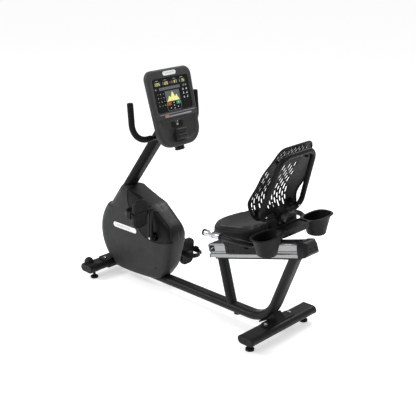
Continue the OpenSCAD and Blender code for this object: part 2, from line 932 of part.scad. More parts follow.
module rail_under_plate() {
  color(near_black) seat_rail_frame() translate([18, 0, -under_plate_t]) difference() {
    along_x(478) translate([0, (under_plate_t - 0.1) / 2])
      soft_rect(66, under_plate_t - 0.1, 3);
    translate([-1, -26, 3]) cube([4, 52, 5]);
  }
}

// ---------------------------------------------------------------- seat carriage

module carriage_side() {
  rotate([90, 0, 0]) linear_extrude(side_plate_t) difference() {
    polygon([[261, 386.2], [569, 472.8], [562, 499], [541, 507], [536, pan_z], [221, pan_z]]);
    for (p = [[280, 406], [313, 416]]) translate(p) circle(r = 5.5);
    translate([lever_x, lever_z]) circle(r = lever_pin_r + 0.06);
  }
}

module carriage() {
  color(charcoal) {
    mirror_y() translate([0, carriage_y, 0]) carriage_side();
    translate([lever_x, 0, lever_z]) rod_y(9.5, -carriage_y - 3, -carriage_y + 2);
    seat_rail_frame() translate([carriage_s[0] + 6, -carriage_y + 3, seat_rail_h + 7])
      cube([300, 2 * (carriage_y - 3), 6]);
    translate([236, -carriage_y + 3, pan_z - 26]) cube([6, 2 * (carriage_y - 3), 24]);
  }
}

module carriage_glides() {
  color([0.9, 0.9, 0.88]) seat_rail_frame() for (s = [150, 390]) {
    mirror_y() translate([s, 46.4, 34]) cube([40, carriage_y - side_plate_t - 46.4, 34]);
    translate([s, -44, seat_rail_h + gap]) cube([40, 88, 7 - gap]);
  }
}

module seat_lock_lever() {
  color(near_black) translate([lever_x, 0, lever_z]) {
    rod_y(lever_pin_r, carriage_y - side_plate_t - 3, carriage_y + 4);
    rod_y(15, carriage_y + 1, carriage_y + 8);
    translate([0, carriage_y + 8, 0]) rotate([90, 0, 0]) linear_extrude(6)
      polygon([[-6, -13], [-150, -6], [-156, 4], [-148, 10], [6, 13]]);
    translate([-130, 0, 3]) rod_y(10, carriage_y + 8, carriage_y + 60);
  }
}

module brake_shoe() {
  color([0.5, 0.2, 0.15]) seat_rail_frame() translate([310, 46.4, 36])
    cube([36, carriage_y - side_plate_t - 46.4 - 3.2, 26]);
}

module seat_pan() {
  color(near_black) translate([0, 0, pan_z + gap / 4]) linear_extrude(pan_t) difference() {
    union() {
      translate([372, 0]) circle(r = 160);
      translate([450, 0]) soft_rect(170, 2 * seat_half - 40, 60);
      translate([330, 0]) soft_rect(150, 2 * seat_half - 70, 70);
    }
    translate([530.6, -100]) square([40, 200]);
  }
}

module cushion_disc(x, y, r, top) {
  low = 0.45 * (top - cushion_z);
  translate([x, y, cushion_z]) cylinder(r1 = r - 8, r2 = r, h = low, $fn = 40);
  translate([x, y, cushion_z + low]) cylinder(r1 = r, r2 = r - 14, h = top - cushion_z - low,
    $fn = 40);
}

module seat_cushion() {
  color([0.14, 0.14, 0.145]) difference() {
    hull() mirror_y() {
      cushion_disc(337, 30, 136, 588);
      cushion_disc(375, 90, 135, 598);
      cushion_disc(453, 140, 85, 614);
      cushion_disc(482, 164, 56, 628);
      cushion_disc(486, 60, 50, 612);
    }
    translate([525, -38, cushion_z - 1]) cube([60, 76, 90]);
  }
}

handle_path = concat(
  [[318, -handle_y, handle_z]],
  round_corner([318, -handle_y, handle_z], [500, -handle_y, handle_z + 6],
    [546, -handle_y + 40, handle_z - 8], 60, 5),
  round_corner([500, -handle_y, handle_z + 6], [cross_x, -handle_y + 60, handle_z - 18],
    [cross_x, 0, cross_z], 50, 5),
  [[cross_x, -60, cross_z]]);

module seat_handle() {
  color(near_black)
    sweep(concat(handle_path, mirrored(handle_path)), handle_d / 2, [0, 0, 1], 14);
}

module grip_sleeves() {
  color(alu) mirror_y() translate([318, handle_y, handle_z]) rotate([0, 90 - 1.9, 0])
    difference() {
      translate([0, 0, -8]) cylinder(r = 16, h = 100);
      cylinder(r = handle_d / 2 + 0.15, h = 120);
    }
}

module grip_collars() {
  color(near_black) mirror_y() translate([318, handle_y, handle_z]) rotate([0, 90 - 1.9, 0]) {
    translate([0, 0, -18]) cylinder(r = 17, h = 9.8);
    translate([0, 0, 92.2]) difference() {
      cylinder(r = 17.5, h = 9);
      translate([0, 0, -1]) cylinder(r = handle_d / 2 + 0.15, h = 12);
    }
  }
}

lead_path = concat(
  [[413, -handle_y + 10, handle_z - 17]],
  round_corner([413, -handle_y + 10, handle_z - 17], [392, -200, 498], [318, -96, 470], 40, 5),
  round_corner([392, -200, 498], [300, -80, 468], [262, -carriage_y - 4, 478], 22, 4),
  [[262, -carriage_y - 4, 478]]);

module grip_leads() {
  color(near_black) mirror_y() sweep(lead_path, 3.5, [0.3, 0.2, 1], 8);
}

// ---------------------------------------------------------------- backrest

// flat bar behind the cushion that carries the backrest
module back_bar_block(grow = 0) {
  translate([529, 0, 528]) rotate([0, 20.5, 0]) translate([-grow, -30 - grow, 0])
    cube([14 + 2 * grow, 60 + 2 * grow, 168 + grow]);
}

module back_bar() {
  color(near_black) difference() {
    back_bar_block();
    seat_rail_frame() translate([300, -60, 0]) cube([300, 120, seat_rail_h + 13.1]);
    translate([cross_x, 0, cross_z]) rod_y(handle_d / 2 + 0.2, -50, 50);
  }
}

ring_corners = [
  [0, ring_top - ring_d / 2, ring_h - ring_d / 2],
  [0, ring_bottom - ring_d / 2, ring_d / 2],
  [0, -ring_bottom + ring_d / 2, ring_d / 2],
  [0, -ring_top + ring_d / 2, ring_h - ring_d / 2]];
ring_radii = [62, 50, 50, 62];
ring_path = [for (i = [0:3]) each
  round_corner(ring_corners[(i + 3) % 4], ring_corners[i], ring_corners[(i + 1) % 4],
    ring_radii[i], 6)];

module back_frame() {
  color(charcoal) back_frame_plane() sweep_loop(ring_path, ring_d / 2, [1, 0, 0], 12);
}

module back_bracket() {
  color([0.16, 0.16, 0.165]) difference() {
    back_frame_plane() translate([ring_d / 2 - 20, 0, 0]) along_x(26)
      translate([0, 24]) soft_rect(96, 62, 24);
    back_frame_plane() translate([0, 0, ring_d / 2]) rod_y(ring_d / 2 + 0.2, -100, 100);
    back_bar_block(0.3);
  }
}

// S-shaped side profile of the shell's front face: lumbar bulge low, upright above
shell_front = [[541, 663], [524, 690], [510, 722], [506, 752], [513, 790], [532, 828],
  [556, 864], [582, 902], [606, 944], [630, 990], [652, 1040]];
shell_back = [for (i = [len(shell_front) - 1:-1:0]) shell_front[i] + [shell_t, 0.6]];

module back_outline() {
  hull() {
    for (side = [-1, 1]) {
      translate([side * 84, 985]) circle(r = 57, $fn = 32);
      translate([side * 146, 770]) circle(r = 46, $fn = 32);
      translate([side * 118, 712]) circle(r = 49, $fn = 32);
    }
  }
}

module back_shell() {
  color(near_black) intersection() {
    along_y(420) polygon(concat(shell_front, shell_back));
    translate([300, 0, 0]) along_x(500) back_outline();
  }
  color(near_black) mirror_y() intersection() {
    back_frame_plane() {
      for (v = [34, ring_h - 60]) translate([0, v < 100 ? 128 : 104, v]) rotate([0, -90, 0])
        cylinder(r = 8, h = 120);
    }
    difference() {
      translate([400, 60, 600]) cube([400, 200, 500]);
      back_solid_front();
      back_ring_zone();
    }
  }
}

module back_solid_front() {
  along_y(500) polygon(concat(shell_back, [[0, 660], [0, 1045]]));
}

module back_ring_zone() {
  back_frame_plane() translate([-ring_d / 2 - 0.2, -300, -100]) cube([400, 600, 800]);
}

// ---------------------------------------------------------------- cup tray

module tray_plan(inset) {
  for (side = [-1, 1]) translate([0, side * cup_y])
    soft_rect(114 - 2 * inset, 200 - 2 * inset, 54 - inset);
  translate([-6, 0]) square([78 - 2 * inset, 2 * cup_y], center = true);
}

module cup_solid(side, inset, low) {
  hull() {
    translate([tray_x, side * cup_y, tray_z - 8 - low]) linear_extrude(8)
      soft_rect(100 - 2 * inset, 184 - 2 * inset, 48 - inset, $fn = 32);
    translate([tray_x - 2, side * cup_y, tray_z - cup_depth + inset])
      cylinder(r = 50 - inset, h = 6, $fn = 48);
  }
}

module cup_tray() {
  color(near_black) difference() {
    union() {
      translate([tray_x, 0, tray_z - 6]) linear_extrude(6) tray_plan(0);
      translate([tray_x - 6, 0, tray_z - 42]) linear_extrude(38) square([66, 240], center = true);
      for (side = [-1, 1]) cup_solid(side, 0, 0);
    }
    for (side = [-1, 1]) {
      cup_solid(side, 3, -12);
      translate([tray_x, side * cup_y, tray_z - 1]) linear_extrude(8)
        soft_rect(94, 178, 45);
    }
    translate([tray_x - 6, 0, tray_z - 38]) linear_extrude(60) square([58, 214], center = true);
  }
  color(near_black) difference() {
    for (side = [-1, 1]) translate([567, side * 20 - 6, tray_z - 36]) cube([45, 12, 26]);
    back_bar_block(0.2);
  }
}

// ---------------------------------------------------------------- console

module console_outline(inset) {
  hull() for (side = [-1, 1]) {
    translate([side * 116, 89]) circle(r = 48 - inset, $fn = 48);
    translate([side * 60, -185]) circle(r = 95 - inset, $fn = 64);
  }
}

module console_back() {
  color([0.17, 0.17, 0.175]) difference() {
    console_frame() hull() {
      translate([-bezel_t + 4, 0, 0]) along_x(2) console_outline(2);
      translate([-console_depth + 6, 0, -20]) along_x(2) soft_rect(180, 300, 60, $fn = 32);
    }
    console_frame() hull() {
      translate([-bezel_t + 4.2, 0, 0]) along_x(2) console_outline(5);
      translate([-console_depth + 9, 0, -20]) along_x(2) soft_rect(174, 294, 57, $fn = 32);
    }
    mast_frame() linear_extrude(900) rotate(90) flat_oval(mast_w + 0.6, mast_t + 0.6);
    translate([bar_x - 32.4, -46.4, bar_low_z - 30.4]) cube([62.8, 92.8, 58.8]);
    sweep(bar_path, bar_d / 2 + 0.4, [1, 0, 0], 16);
  }
}

module console_bezel() {
  color([0.22, 0.22, 0.225]) difference() {
    console_frame() union() {
      difference() {
        translate([-bezel_t + 6.2, 0, 0]) along_x(bezel_t) console_outline(0);
        translate([-bezel_t + 6, 0, 0]) along_x(bezel_t - 18) console_outline(3);
        translate([-13, 0, 0]) along_x(9) soft_rect(254, 174, 11);
        translate([-1, 0, 0]) along_x(20) soft_rect(262, 182, 14);
        translate([-8, 0, 0]) along_x(20) lower_recess();
        translate([-15, -17, -236]) cube([30, 34, 44]);
        translate([-14, 0, -163]) rotate([0, 90, 0]) cylinder(r = 5.6, h = 30);
      }
      translate([6, 0, -110]) along_x(8.3) soft_rect(300, 30, 8);
    }
    sweep(bar_path, bar_d / 2 + 0.4, [1, 0, 0], 16);
  }
}

module lower_recess() {
  intersection() {
    console_outline(16);
    translate([0, -220]) square([400, 176], center = true);
  }
}

module console_overlay() {
  color([0.04, 0.04, 0.045]) console_frame() {
    translate([-0.9, 0, 0]) along_x(2) soft_rect(260, 180, 13);
    difference() {
      translate([-7.9, 0, -156]) along_x(1.4) soft_rect(84, 40, 4);
      translate([-14, 0, -163]) rotate([0, 90, 0]) cylinder(r = 5.6, h = 30);
    }
  }
}

module console_paddle() {
  color([0.14, 0.14, 0.145]) console_frame() translate([0, 0, -214]) {
    translate([1, 0, 0]) along_x(30) soft_rect(88, 66, 12);
    translate([-12, -12, -12]) cube([13.5, 24, 24]);
    translate([8, 0, 0]) rod_y(3, -45.5, 45.5);
  }
}

module console_button() {
  color([0.75, 0.76, 0.76]) console_frame() translate([-11, 0, -163]) rotate([0, 90, 0])
    cylinder(r = 5.3, h = 8);
}

// ---------------------------------------------------------------- the object

main_frame();
front_seat_post();
stabiliser_brackets();
rear_stabiliser();
front_stabiliser();
stabiliser_caps();
stabiliser_bolts();
levelling_feet();
transport_wheel_left();
transport_wheel_right();
drive_frame();
console_mast();
handlebar_clamp();
handlebar();
handlebar_grips();
shroud_left();
shroud_right();
shroud_top_cover();
side_inserts();
badges();
shroud_screws();
crank_axle();
crank_bearings();
drive_pulley();
drive_belt();
flywheel();
flywheel_axle();
belt_idler();
crank_arm_left();
crank_arm_right();
crank_bolts();
pedal_spindles();
pedal_left();
pedal_right();
pedal_strap_left();
pedal_strap_right();
seat_rail();
rail_track();
rail_end_caps();
rail_under_plate();
carriage();
carriage_glides();
seat_lock_lever();
brake_shoe();
seat_pan();
seat_cushion();
seat_handle();
grip_sleeves();
grip_collars();
grip_leads();
back_bar();
back_frame();
back_bracket();
back_shell();
cup_tray();
console_back();
console_bezel();
console_overlay();
console_paddle();
console_button();
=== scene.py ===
import math

import bmesh
import bpy
import numpy as np
from mathutils import Matrix, Vector
from mathutils.bvhtree import BVHTree


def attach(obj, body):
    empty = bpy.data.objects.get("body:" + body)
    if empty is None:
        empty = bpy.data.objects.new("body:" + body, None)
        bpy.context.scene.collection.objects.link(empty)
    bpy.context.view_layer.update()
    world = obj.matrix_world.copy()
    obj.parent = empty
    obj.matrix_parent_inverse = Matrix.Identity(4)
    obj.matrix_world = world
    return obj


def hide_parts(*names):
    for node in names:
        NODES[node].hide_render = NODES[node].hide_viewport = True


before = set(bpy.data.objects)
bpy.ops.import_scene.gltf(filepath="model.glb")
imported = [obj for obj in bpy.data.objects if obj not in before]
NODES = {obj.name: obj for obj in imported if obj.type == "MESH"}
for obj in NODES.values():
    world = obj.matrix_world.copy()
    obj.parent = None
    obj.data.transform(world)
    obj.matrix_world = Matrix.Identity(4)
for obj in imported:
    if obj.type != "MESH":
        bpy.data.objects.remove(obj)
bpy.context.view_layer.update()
MM = 0.001


# ------------------------------------------------------------------ materials

def new_material(name, color, rough, metal=0.0, coat=0.0, sheen=0.0, aniso=0.0, spec=0.15):
    m = bpy.data.materials.new(name)
    m.use_nodes = True
    nt = m.node_tree
    b = nt.nodes["Principled BSDF"]
    for key, value in {"Base Color": (*color, 1), "Roughness": rough, "Metallic": metal,
                       "IOR": 1.5, "Specular IOR Level": 0.5 if metal else spec,
                       "Coat Weight": coat, "Coat Roughness": 0.25, "Sheen Weight": sheen,
                       "Sheen Roughness": 0.4, "Anisotropic": aniso}.items():
        b.inputs[key].default_value = value
    return m, nt, b


def node(nt, kind, links, out=None, **values):
    """a shader node with its inputs set and linked, and the socket that it gives"""
    n = nt.nodes.new("ShaderNode" + kind)
    for key, value in values.items():
        n.inputs[key.replace("_", " ")].default_value = value
    for key, socket in links.items():
        nt.links.new(socket, n.inputs[key])
    return n.outputs[out] if out else n


def coords(nt, stretch=(1, 1, 1), turn=0.0):
    place = node(nt, "TexCoord", {}, "Object")
    mapping = node(nt, "Mapping", {"Vector": place}, Scale=stretch, Rotation=(0, turn, 0))
    mapping.vector_type = "TEXTURE"
    return mapping.outputs["Vector"]


def noise(nt, vec, scale, detail=3.0, rough=0.55):
    return node(nt, "TexNoise", {"Vector": vec}, "Fac", Scale=scale, Detail=detail,
                Roughness=rough)


def cells(nt, vec, scale, feature="DISTANCE_TO_EDGE"):
    n = nt.nodes.new("ShaderNodeTexVoronoi")
    n.feature = feature
    n.inputs["Scale"].default_value = scale
    nt.links.new(vec, n.inputs["Vector"])
    return n.outputs["Distance"]


def set_rough(nt, bsdf, val, lo, hi, a=0.3, b=0.7):
    """roughness from lo to hi while the value goes from a to b"""
    rough = node(nt, "MapRange", {"Value": val}, "Result", From_Min=a, From_Max=b, To_Min=lo,
                 To_Max=hi)
    nt.links.new(rough, bsdf.inputs["Roughness"])


def tint(nt, bsdf, val, color, low, high):
    r = nt.nodes.new("ShaderNodeValToRGB")
    for stop, place, k in zip(r.color_ramp.elements, (0.3, 0.7), (low, high)):
        stop.position = place
        stop.color = (*[min(c * k, 1) for c in color], 1)
    nt.links.new(val, r.inputs["Fac"])
    nt.links.new(r.outputs["Color"], bsdf.inputs["Base Color"])


def bump(nt, bsdf, val, strength, dist, before=None):
    links = {"Height": val} if before is None else {"Height": val, "Normal": before}
    normal = node(nt, "Bump", links, "Normal", Strength=strength, Distance=dist)
    nt.links.new(normal, bsdf.inputs["Normal"])
    return normal


def surface(name, color, rough, cloud, shine, bumps, **base):
    """a clouded colour, (scale, detail, low, high), varied roughness, (scale, detail, less,
    more), and layers of bump, (texture, its values, strength, distance)"""
    m, nt, b = new_material(name, color, rough, **base)
    v = coords(nt)
    scale, detail, low, high = cloud
    tint(nt, b, noise(nt, v, scale, detail), color, low, high)
    scale, detail, less, more = shine
    set_rough(nt, b, noise(nt, v, scale, detail), rough - less, rough + more)
    layer = None
    for texture, values, strength, dist in bumps:
        layer = bump(nt, b, texture(nt, v, *values), strength, dist, layer)
    return m


def powder(name, color, rough=0.38, spec=0.15):
    """satin powder coat: fine orange peel, faint cloudy colour, scuffed roughness"""
    return surface(name, color, rough, (9, 5, 0.86, 1.16), (60, 4, 0.07, 0.1),
                   [(noise, (850, 2), 0.16, 0.0004), (noise, (120, 2), 0.05, 0.001)], spec=spec)


def moulded(name, color, rough=0.46, grain=1100, depth=0.22, spec=0.15, low=0.85, high=1.18):
    """spark-eroded moulded plastic: fine cells, slight flow marks"""
    return surface(name, color, rough, (14, 6, low, high), (45, 5, 0.06, 0.09),
                   [(cells, (grain,), depth, 0.0004), (noise, (240, 3), depth * 0.5, 0.0006)],
                   spec=spec)


def rubber(name, color, rough=0.62, scale=650):
    return surface(name, color, rough, (30, 6, 0.7, 1.35), (80, 4, 0.1, 0.14),
                   [(noise, (scale, 5, 0.7), 0.4, 0.0007)], sheen=0.06)


def metal(name, color, rough, stretch=(1, 1, 1), turn=0.0, aniso=0.0, streak=0.25, kind=1.0):
    """brushed or turned metal, with fine lines along the way it is stretched"""
    m, nt, b = new_material(name, color, rough, metal=kind, aniso=aniso)
    b.inputs["Specular Tint"].default_value = (0.35, 0.35, 0.36, 1)
    lines = noise(nt, coords(nt, stretch, turn), 900, 3, 0.6)
    tint(nt, b, noise(nt, coords(nt), 6, 4), color, 0.93, 1.05)
    set_rough(nt, b, lines, rough - 0.08, rough + 0.12)
    bump(nt, b, lines, streak, 0.00025)
    return m


def vinyl(name, color):
    """upholstery vinyl: leather-like cells over soft wrinkles"""
    m, nt, b = new_material(name, color, 0.52, sheen=0.06, coat=0.03)
    v = coords(nt)
    tint(nt, b, noise(nt, v, 11, 6), color, 0.82, 1.2)
    set_rough(nt, b, cells(nt, v, 420, "F1"), 0.42, 0.62, 0.0, 0.8)
    first = bump(nt, b, cells(nt, v, 480), 0.35, 0.0006)
    second = bump(nt, b, noise(nt, v, 22, 4), 0.12, 0.006, first)
    bump(nt, b, noise(nt, v, 160, 3), 0.12, 0.0012, second)
    return m


def screen(name, color, glow, rough=0.25):
    """smooth printed or glassy plastic, lit from inside where glow is over 0"""
    m, nt, b = new_material(name, color, rough, coat=0.12)
    v = coords(nt)
    tint(nt, b, noise(nt, v, 60, 3), color, 0.93, 1.06)
    bump(nt, b, noise(nt, v, 1400, 2), 0.03, 0.0002)
    if glow:
        b.inputs["Emission Color"].default_value = (*color, 1)
        b.inputs["Emission Strength"].default_value = glow
    return m


SLOPE = math.radians(15.7)
M = {
    "frame": powder("frame_powder", (0.0125, 0.0129, 0.0136)),
    # the mast is the frame's powder coat; this darker copy is painted shade for its side turned
    # from the lamps
    "mast": powder("mast_powder_painted_shade", (0.0070, 0.0072, 0.0076), 0.42, 0.08),
    "bracket": powder("bracket_powder", (0.0095, 0.0098, 0.0103), 0.42),
    "black_paint": powder("black_powder", (0.0075, 0.0077, 0.0081), 0.4),
    "shroud": moulded("shroud_plastic", (0.0262, 0.0269, 0.0274), 0.44, 900, 0.16),
    "insert": moulded("insert_plastic", (0.0052, 0.0053, 0.0056), 0.5, 700, 0.3),
    "cover": moulded("cover_plastic", (0.0085, 0.0087, 0.0091), 0.40, 900, 0.10, 0.24),
    "console": moulded("console_plastic", (0.0440, 0.0446, 0.0458), 0.42, 1000, 0.16),
    "console_dark": moulded("console_dark_plastic", (0.0180, 0.0184, 0.0192), 0.45, 1000, 0.18),
    "shell": moulded("shell_plastic", (0.0078, 0.0080, 0.0084), 0.42, 800, 0.25),
    "tray": moulded("tray_plastic", (0.0070, 0.0072, 0.0076), 0.43, 800, 0.28),
    "cap": moulded("cap_plastic", (0.0150, 0.0154, 0.0161), 0.42, 900, 0.2),
    "end_cap": moulded("end_housing_plastic", (0.0125, 0.0128, 0.0134), 0.45, 900, 0.22),
    "pedal": moulded("pedal_plastic", (0.0092, 0.0094, 0.0098), 0.5, 420, 0.5),
    "pan": moulded("pan_plastic", (0.011, 0.01128, 0.01183), 0.5, 500, 0.4),
    "wheel": moulded("wheel_plastic", (0.011, 0.01116, 0.01155), 0.45, 700, 0.2),
    "belt_wheel": moulded("belt_wheel_plastic", (0.011, 0.011, 0.011), 0.5, 700, 0.3),
    "glide": moulded("glide_plastic", (0.55, 0.55, 0.52), 0.4, 900, 0.1),
    "strap": rubber("strap_rubber", (0.0088, 0.008965, 0.00935), 0.5, 500),
    "foot": rubber("foot_rubber", (0.00825, 0.00825, 0.0088)),
    "foam": rubber("grip_foam", (0.0050, 0.0051, 0.0053), 0.66, 900),
    "cable": rubber("cable_sheath", (0.0066, 0.0066, 0.006875), 0.45, 300),
    "belt": rubber("belt_rubber", (0.0055, 0.0055, 0.0055)),
    "shoe": rubber("shoe_rubber", (0.10, 0.022, 0.014)),
    "vinyl": vinyl("seat_vinyl", (0.0066, 0.0068, 0.0072)),
    "thread": moulded("seam_thread", (0.0154, 0.0154, 0.01595), 0.7, 1800, 0.5),
    "alu": metal("anodised_rail", (0.33, 0.335, 0.34), 0.36, (0.02, 1, 1), SLOPE, 0.3, 0.2, 0.85),
    "grip": metal("brushed_grip", (0.56, 0.57, 0.58), 0.27, (0.02, 1, 1), 0.03, 0.3, 0.3),
    "bright": metal("plated_steel", (0.83, 0.83, 0.83), 0.17, streak=0.06),
    "steel": metal("turned_steel", (0.55, 0.55, 0.56), 0.32, (1, 0.05, 1)),
    "iron": metal("turned_iron", (0.22, 0.22, 0.225), 0.42, (1, 1, 1)),
    "black_steel": metal("black_oxide", (0.0165, 0.0165, 0.01705), 0.4, streak=0.1, kind=0.6),
    "badge": screen("badge_plate", (0.80, 0.81, 0.81), 0.0, 0.3),
    "badge_inner": screen("badge_inner", (0.52, 0.53, 0.53), 0.0, 0.35),
    "overlay": screen("overlay_film", (0.0052, 0.0054, 0.0059), 0.0, 0.22),
    "lcd": screen("lcd_glass", (0.13, 0.14, 0.145), 0.0, 0.18),
    "lcd_dark": screen("lcd_window", (0.02475, 0.0264, 0.0286), 0.0, 0.15),
    "lit": screen("lit_segments", (0.62, 0.60, 0.22), 0.55, 0.4),
    "legend": screen("legend_grey", (0.34, 0.35, 0.36), 0.0, 0.4),
    "legend_white": screen("legend_white", (0.72, 0.73, 0.74), 0.0, 0.4),
    "red": screen("heart_dot", (0.62, 0.03, 0.02), 0.35, 0.4),
    "orange": screen("orange_key", (0.62, 0.20, 0.03), 0.0, 0.4),
    "green": screen("green_key", (0.03, 0.30, 0.14), 0.0, 0.4),
    "ledge": moulded("ledge_plastic", (0.0460, 0.0468, 0.0482), 0.35, 1000, 0.1),
    "ledge_light": screen("ledge_strip", (0.28, 0.29, 0.30), 0.0, 0.3),
    "button": screen("button_plastic", (0.55, 0.56, 0.56), 0.0, 0.3),
}


# ------------------------------------------------------------------ mesh helpers

def piece(name, verts, faces, body, slot, mats, index=None, smooth=True, replaces=()):
    """a new piece from vertices in millimetres"""
    me = bpy.data.meshes.new(name)
    me.from_pydata([(v[0] * MM, v[1] * MM, v[2] * MM) for v in verts], [], faces)
    for m in mats if isinstance(mats, (list, tuple)) else [mats]:
        me.materials.append(M[m])
    if index is not None:
        me.polygons.foreach_set("material_index", index)
    me.polygons.foreach_set("use_smooth", [smooth] * len(me.polygons))
    me.validate()
    o = bpy.data.objects.new(name, me)
    bpy.context.scene.collection.objects.link(o)
    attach(o, body)
    if replaces:
        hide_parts(*replaces)
    return o


def tidy(o):
    """merge doubles and turn every face outwards"""
    bm = bmesh.new()
    bm.from_mesh(o.data)
    bmesh.ops.remove_doubles(bm, verts=bm.verts, dist=1e-6)
    bmesh.ops.recalc_face_normals(bm, faces=bm.faces)
    bm.to_mesh(o.data)
    bm.free()
    return o


def bevel(o, width, angle=35, segments=2, weld=False):
    if weld:
        w = o.modifiers.new("weld", "WELD")
        w.merge_threshold = 1e-5
    b = o.modifiers.new("bevel", "BEVEL")
    b.width = width * MM
    b.segments = segments
    b.limit_method = "ANGLE"
    b.angle_limit = math.radians(angle)
    b.use_clamp_overlap = True
    n = o.modifiers.new("normals", "WEIGHTED_NORMAL")
    n.keep_sharp = False
    n.weight = 60
    return o


def unit(v):
    v = np.asarray(v, float)
    return v / np.linalg.norm(v)


def round_corner(a, c, b, r, steps=14):
    a, c, b = (np.array(p, float) for p in (a, c, b))
    u, v = unit(a - c), unit(b - c)
    half = math.acos(float(u @ v)) / 2
    cut = r / math.tan(half)
    m = c + unit(u + v) * r / math.sin(half)
    e = unit(c + u * cut - m)
    f0 = c + v * cut - m
    f = unit(f0 - (f0 @ e) * e)
    turn = math.pi - 2 * half
    return [m + r * (math.cos(turn * k / steps) * e + math.sin(turn * k / steps) * f)
            for k in range(steps + 1)]


def mirrored(p):
    return [np.array([q[0], -q[1], q[2]]) for q in reversed(p)]


def resample(pts, step):
    pts = np.array(pts, float)
    seg = np.linalg.norm(np.diff(pts, axis=0), axis=1)
    s = np.concatenate([[0], np.cumsum(seg)])
    n = max(2, int(round(s[-1] / step)) + 1)
    t = np.linspace(0, s[-1], n)
    return np.stack([np.interp(t, s, pts[:, k]) for k in range(3)], 1)


def loft(rings, cap_first=True, cap_last=True, closed=False):
    """quads between rings of equal length, with flat caps"""
    n = len(rings[0])
    verts = [tuple(v) for r in rings for v in r]
    faces = []
    for i in range(len(rings) if closed else len(rings) - 1):
        a, b = i * n, (i + 1) % len(rings) * n
        for k in range(n):
            q = (k + 1) % n
            faces.append((a + k, a + q, b + q, b + k))
    if cap_first:
        faces.append(tuple(range(n - 1, -1, -1)))
    if cap_last:
        faces.append(tuple((len(rings) - 1) * n + k for k in range(n)))
    return verts, faces


def sweep(pts, radius, closed=False, seg=28, dome=0.0, side=None):
    """a tube of rings; radius is a number or one value per point"""
    p = np.array(pts, float)
    n = len(p)
    r = np.full(n, radius, float) if np.isscalar(radius) else np.array(radius, float)
    t = np.roll(p, -1, 0) - np.roll(p, 1, 0) if closed else np.gradient(p, axis=0)
    t /= np.linalg.norm(t, axis=1)[:, None]
    if side is not None:
        frames = [(unit(np.cross(side, d)), unit(np.cross(d, np.cross(side, d)))) for d in t]
    else:
        a = unit(np.cross((0.13, 0.2, 1.0), t[0]))
        frames = []
        for d in t:
            a = unit(a - (a @ d) * d)
            frames.append((a, np.cross(d, a)))
        if closed:
            first, last = frames[0], frames[-1]
            back = unit(last[0] - (last[0] @ t[0]) * t[0])
            twist = math.atan2(float(np.cross(back, first[0]) @ t[0]), float(back @ first[0]))
            turns = [twist * i / n for i in range(n)]
            frames = [(math.cos(q) * a + math.sin(q) * b, math.cos(q) * b - math.sin(q) * a)
                      for q, (a, b) in zip(turns, frames)]
    rows = [(p[i], frames[i], r[i]) for i in range(n)]

    def cap(i, way):
        return [(p[i] + way * dome * math.sqrt(1 - k * k) * t[i], frames[i], max(r[i] * k, 0.05))
                for k in (0.0, 0.35, 0.62, 0.85)]
    if dome:
        rows = cap(0, -1) + rows + cap(-1, 1)[::-1]
    angles = [q * 2 * math.pi / seg for q in range(seg)]
    rings = [[c + size * (math.cos(q) * a + math.sin(q) * b) for q in angles]
             for c, (a, b), size in rows]
    return loft(rings, not closed, not closed, closed)


def joined(name, parts, body, slot, mats, **options):
    """a piece made of several meshes, given as (mesh, material index)"""
    verts, faces, index = [], [], []
    for (v, f), k in parts:
        faces += [tuple(len(verts) + i for i in g) for g in f]
        verts += v
        index += [k] * len(f)
    return piece(name, verts, faces, body, slot, mats, index, **options)


def flipped(mesh):
    return mesh[0], [tuple(reversed(g)) for g in mesh[1]]


def hull_outline(discs, arc=7.0, line=18.0):
    """outline of the hull of discs, as points with outward normals, counter-clockwise"""
    def normal(degrees):
        q = math.radians(degrees)
        return np.array([math.cos(q), math.sin(q)])

    per_degree = 4
    count = 360 * per_degree
    best = []
    for k in range(count):
        n = normal(k / per_degree)
        best.append(max(range(len(discs)),
                        key=lambda i: discs[i][0] * n[0] + discs[i][1] * n[1] + discs[i][2]))
    start = next(k for k in range(count) if best[k] != best[k - 1])
    pts, nrm = [], []

    def bridge(end):
        """points on the straight way from the last point to the end"""
        first, steps = pts[-1], int(np.linalg.norm(end - pts[-1]) / line)
        for s in range(1, steps + 1):
            f = s / (steps + 1)
            pts.append(first * (1 - f) + end * f)
            nrm.append(nrm[-1])
    k = 0
    while k < count:
        i = best[(start + k) % count]
        j = k
        while j < count and best[(start + j) % count] == i:
            j += 1
        a0, a1 = (start + k) / per_degree, (start + j) / per_degree
        steps = max(1, int(round((a1 - a0) / arc)))
        for s in range(steps + 1):
            n = normal(a0 + (a1 - a0) * s / steps)
            p = np.array(discs[i][:2]) + discs[i][2] * n
            if s == 0 and pts:
                bridge(p)
            pts.append(p)
            nrm.append(n)
        k = j
    bridge(pts[0])
    return np.array(pts), np.array(nrm)


def flat_fill(loops):
    """triangles filling 2-D loops, the first the outside and the rest holes"""
    cu = bpy.data.curves.new("fill", "CURVE")
    cu.dimensions = "2D"
    cu.fill_mode = "BOTH"
    for lp in loops:
        s = cu.splines.new("POLY")
        s.points.add(len(lp) - 1)
        for p, c in zip(s.points, lp):
            p.co = (c[0], c[1], 0, 1)
        s.use_cyclic_u = True
    o = bpy.data.objects.new("fill", cu)
    bpy.context.scene.collection.objects.link(o)
    me = bpy.data.meshes.new_from_object(o)
    verts = [tuple(v.co) for v in me.vertices]
    faces = [tuple(p.vertices) for p in me.polygons]
    bpy.data.objects.remove(o)
    bpy.data.curves.remove(cu)
    bpy.data.meshes.remove(me)
    return verts, faces


def soft_rect(cx, cy, w, h, r, steps=5):
    """loop of a rectangle with round corners"""
    return [(cx + sx * (w / 2 - r) + r * math.cos(q), cy + sy * (h / 2 - r) + r * math.sin(q))
            for sx, sy, q0 in ((1, 1, 0), (-1, 1, 90), (-1, -1, 180), (1, -1, 270))
            for q in [math.radians(q0 + 90 * k / steps) for k in range(steps + 1)]]


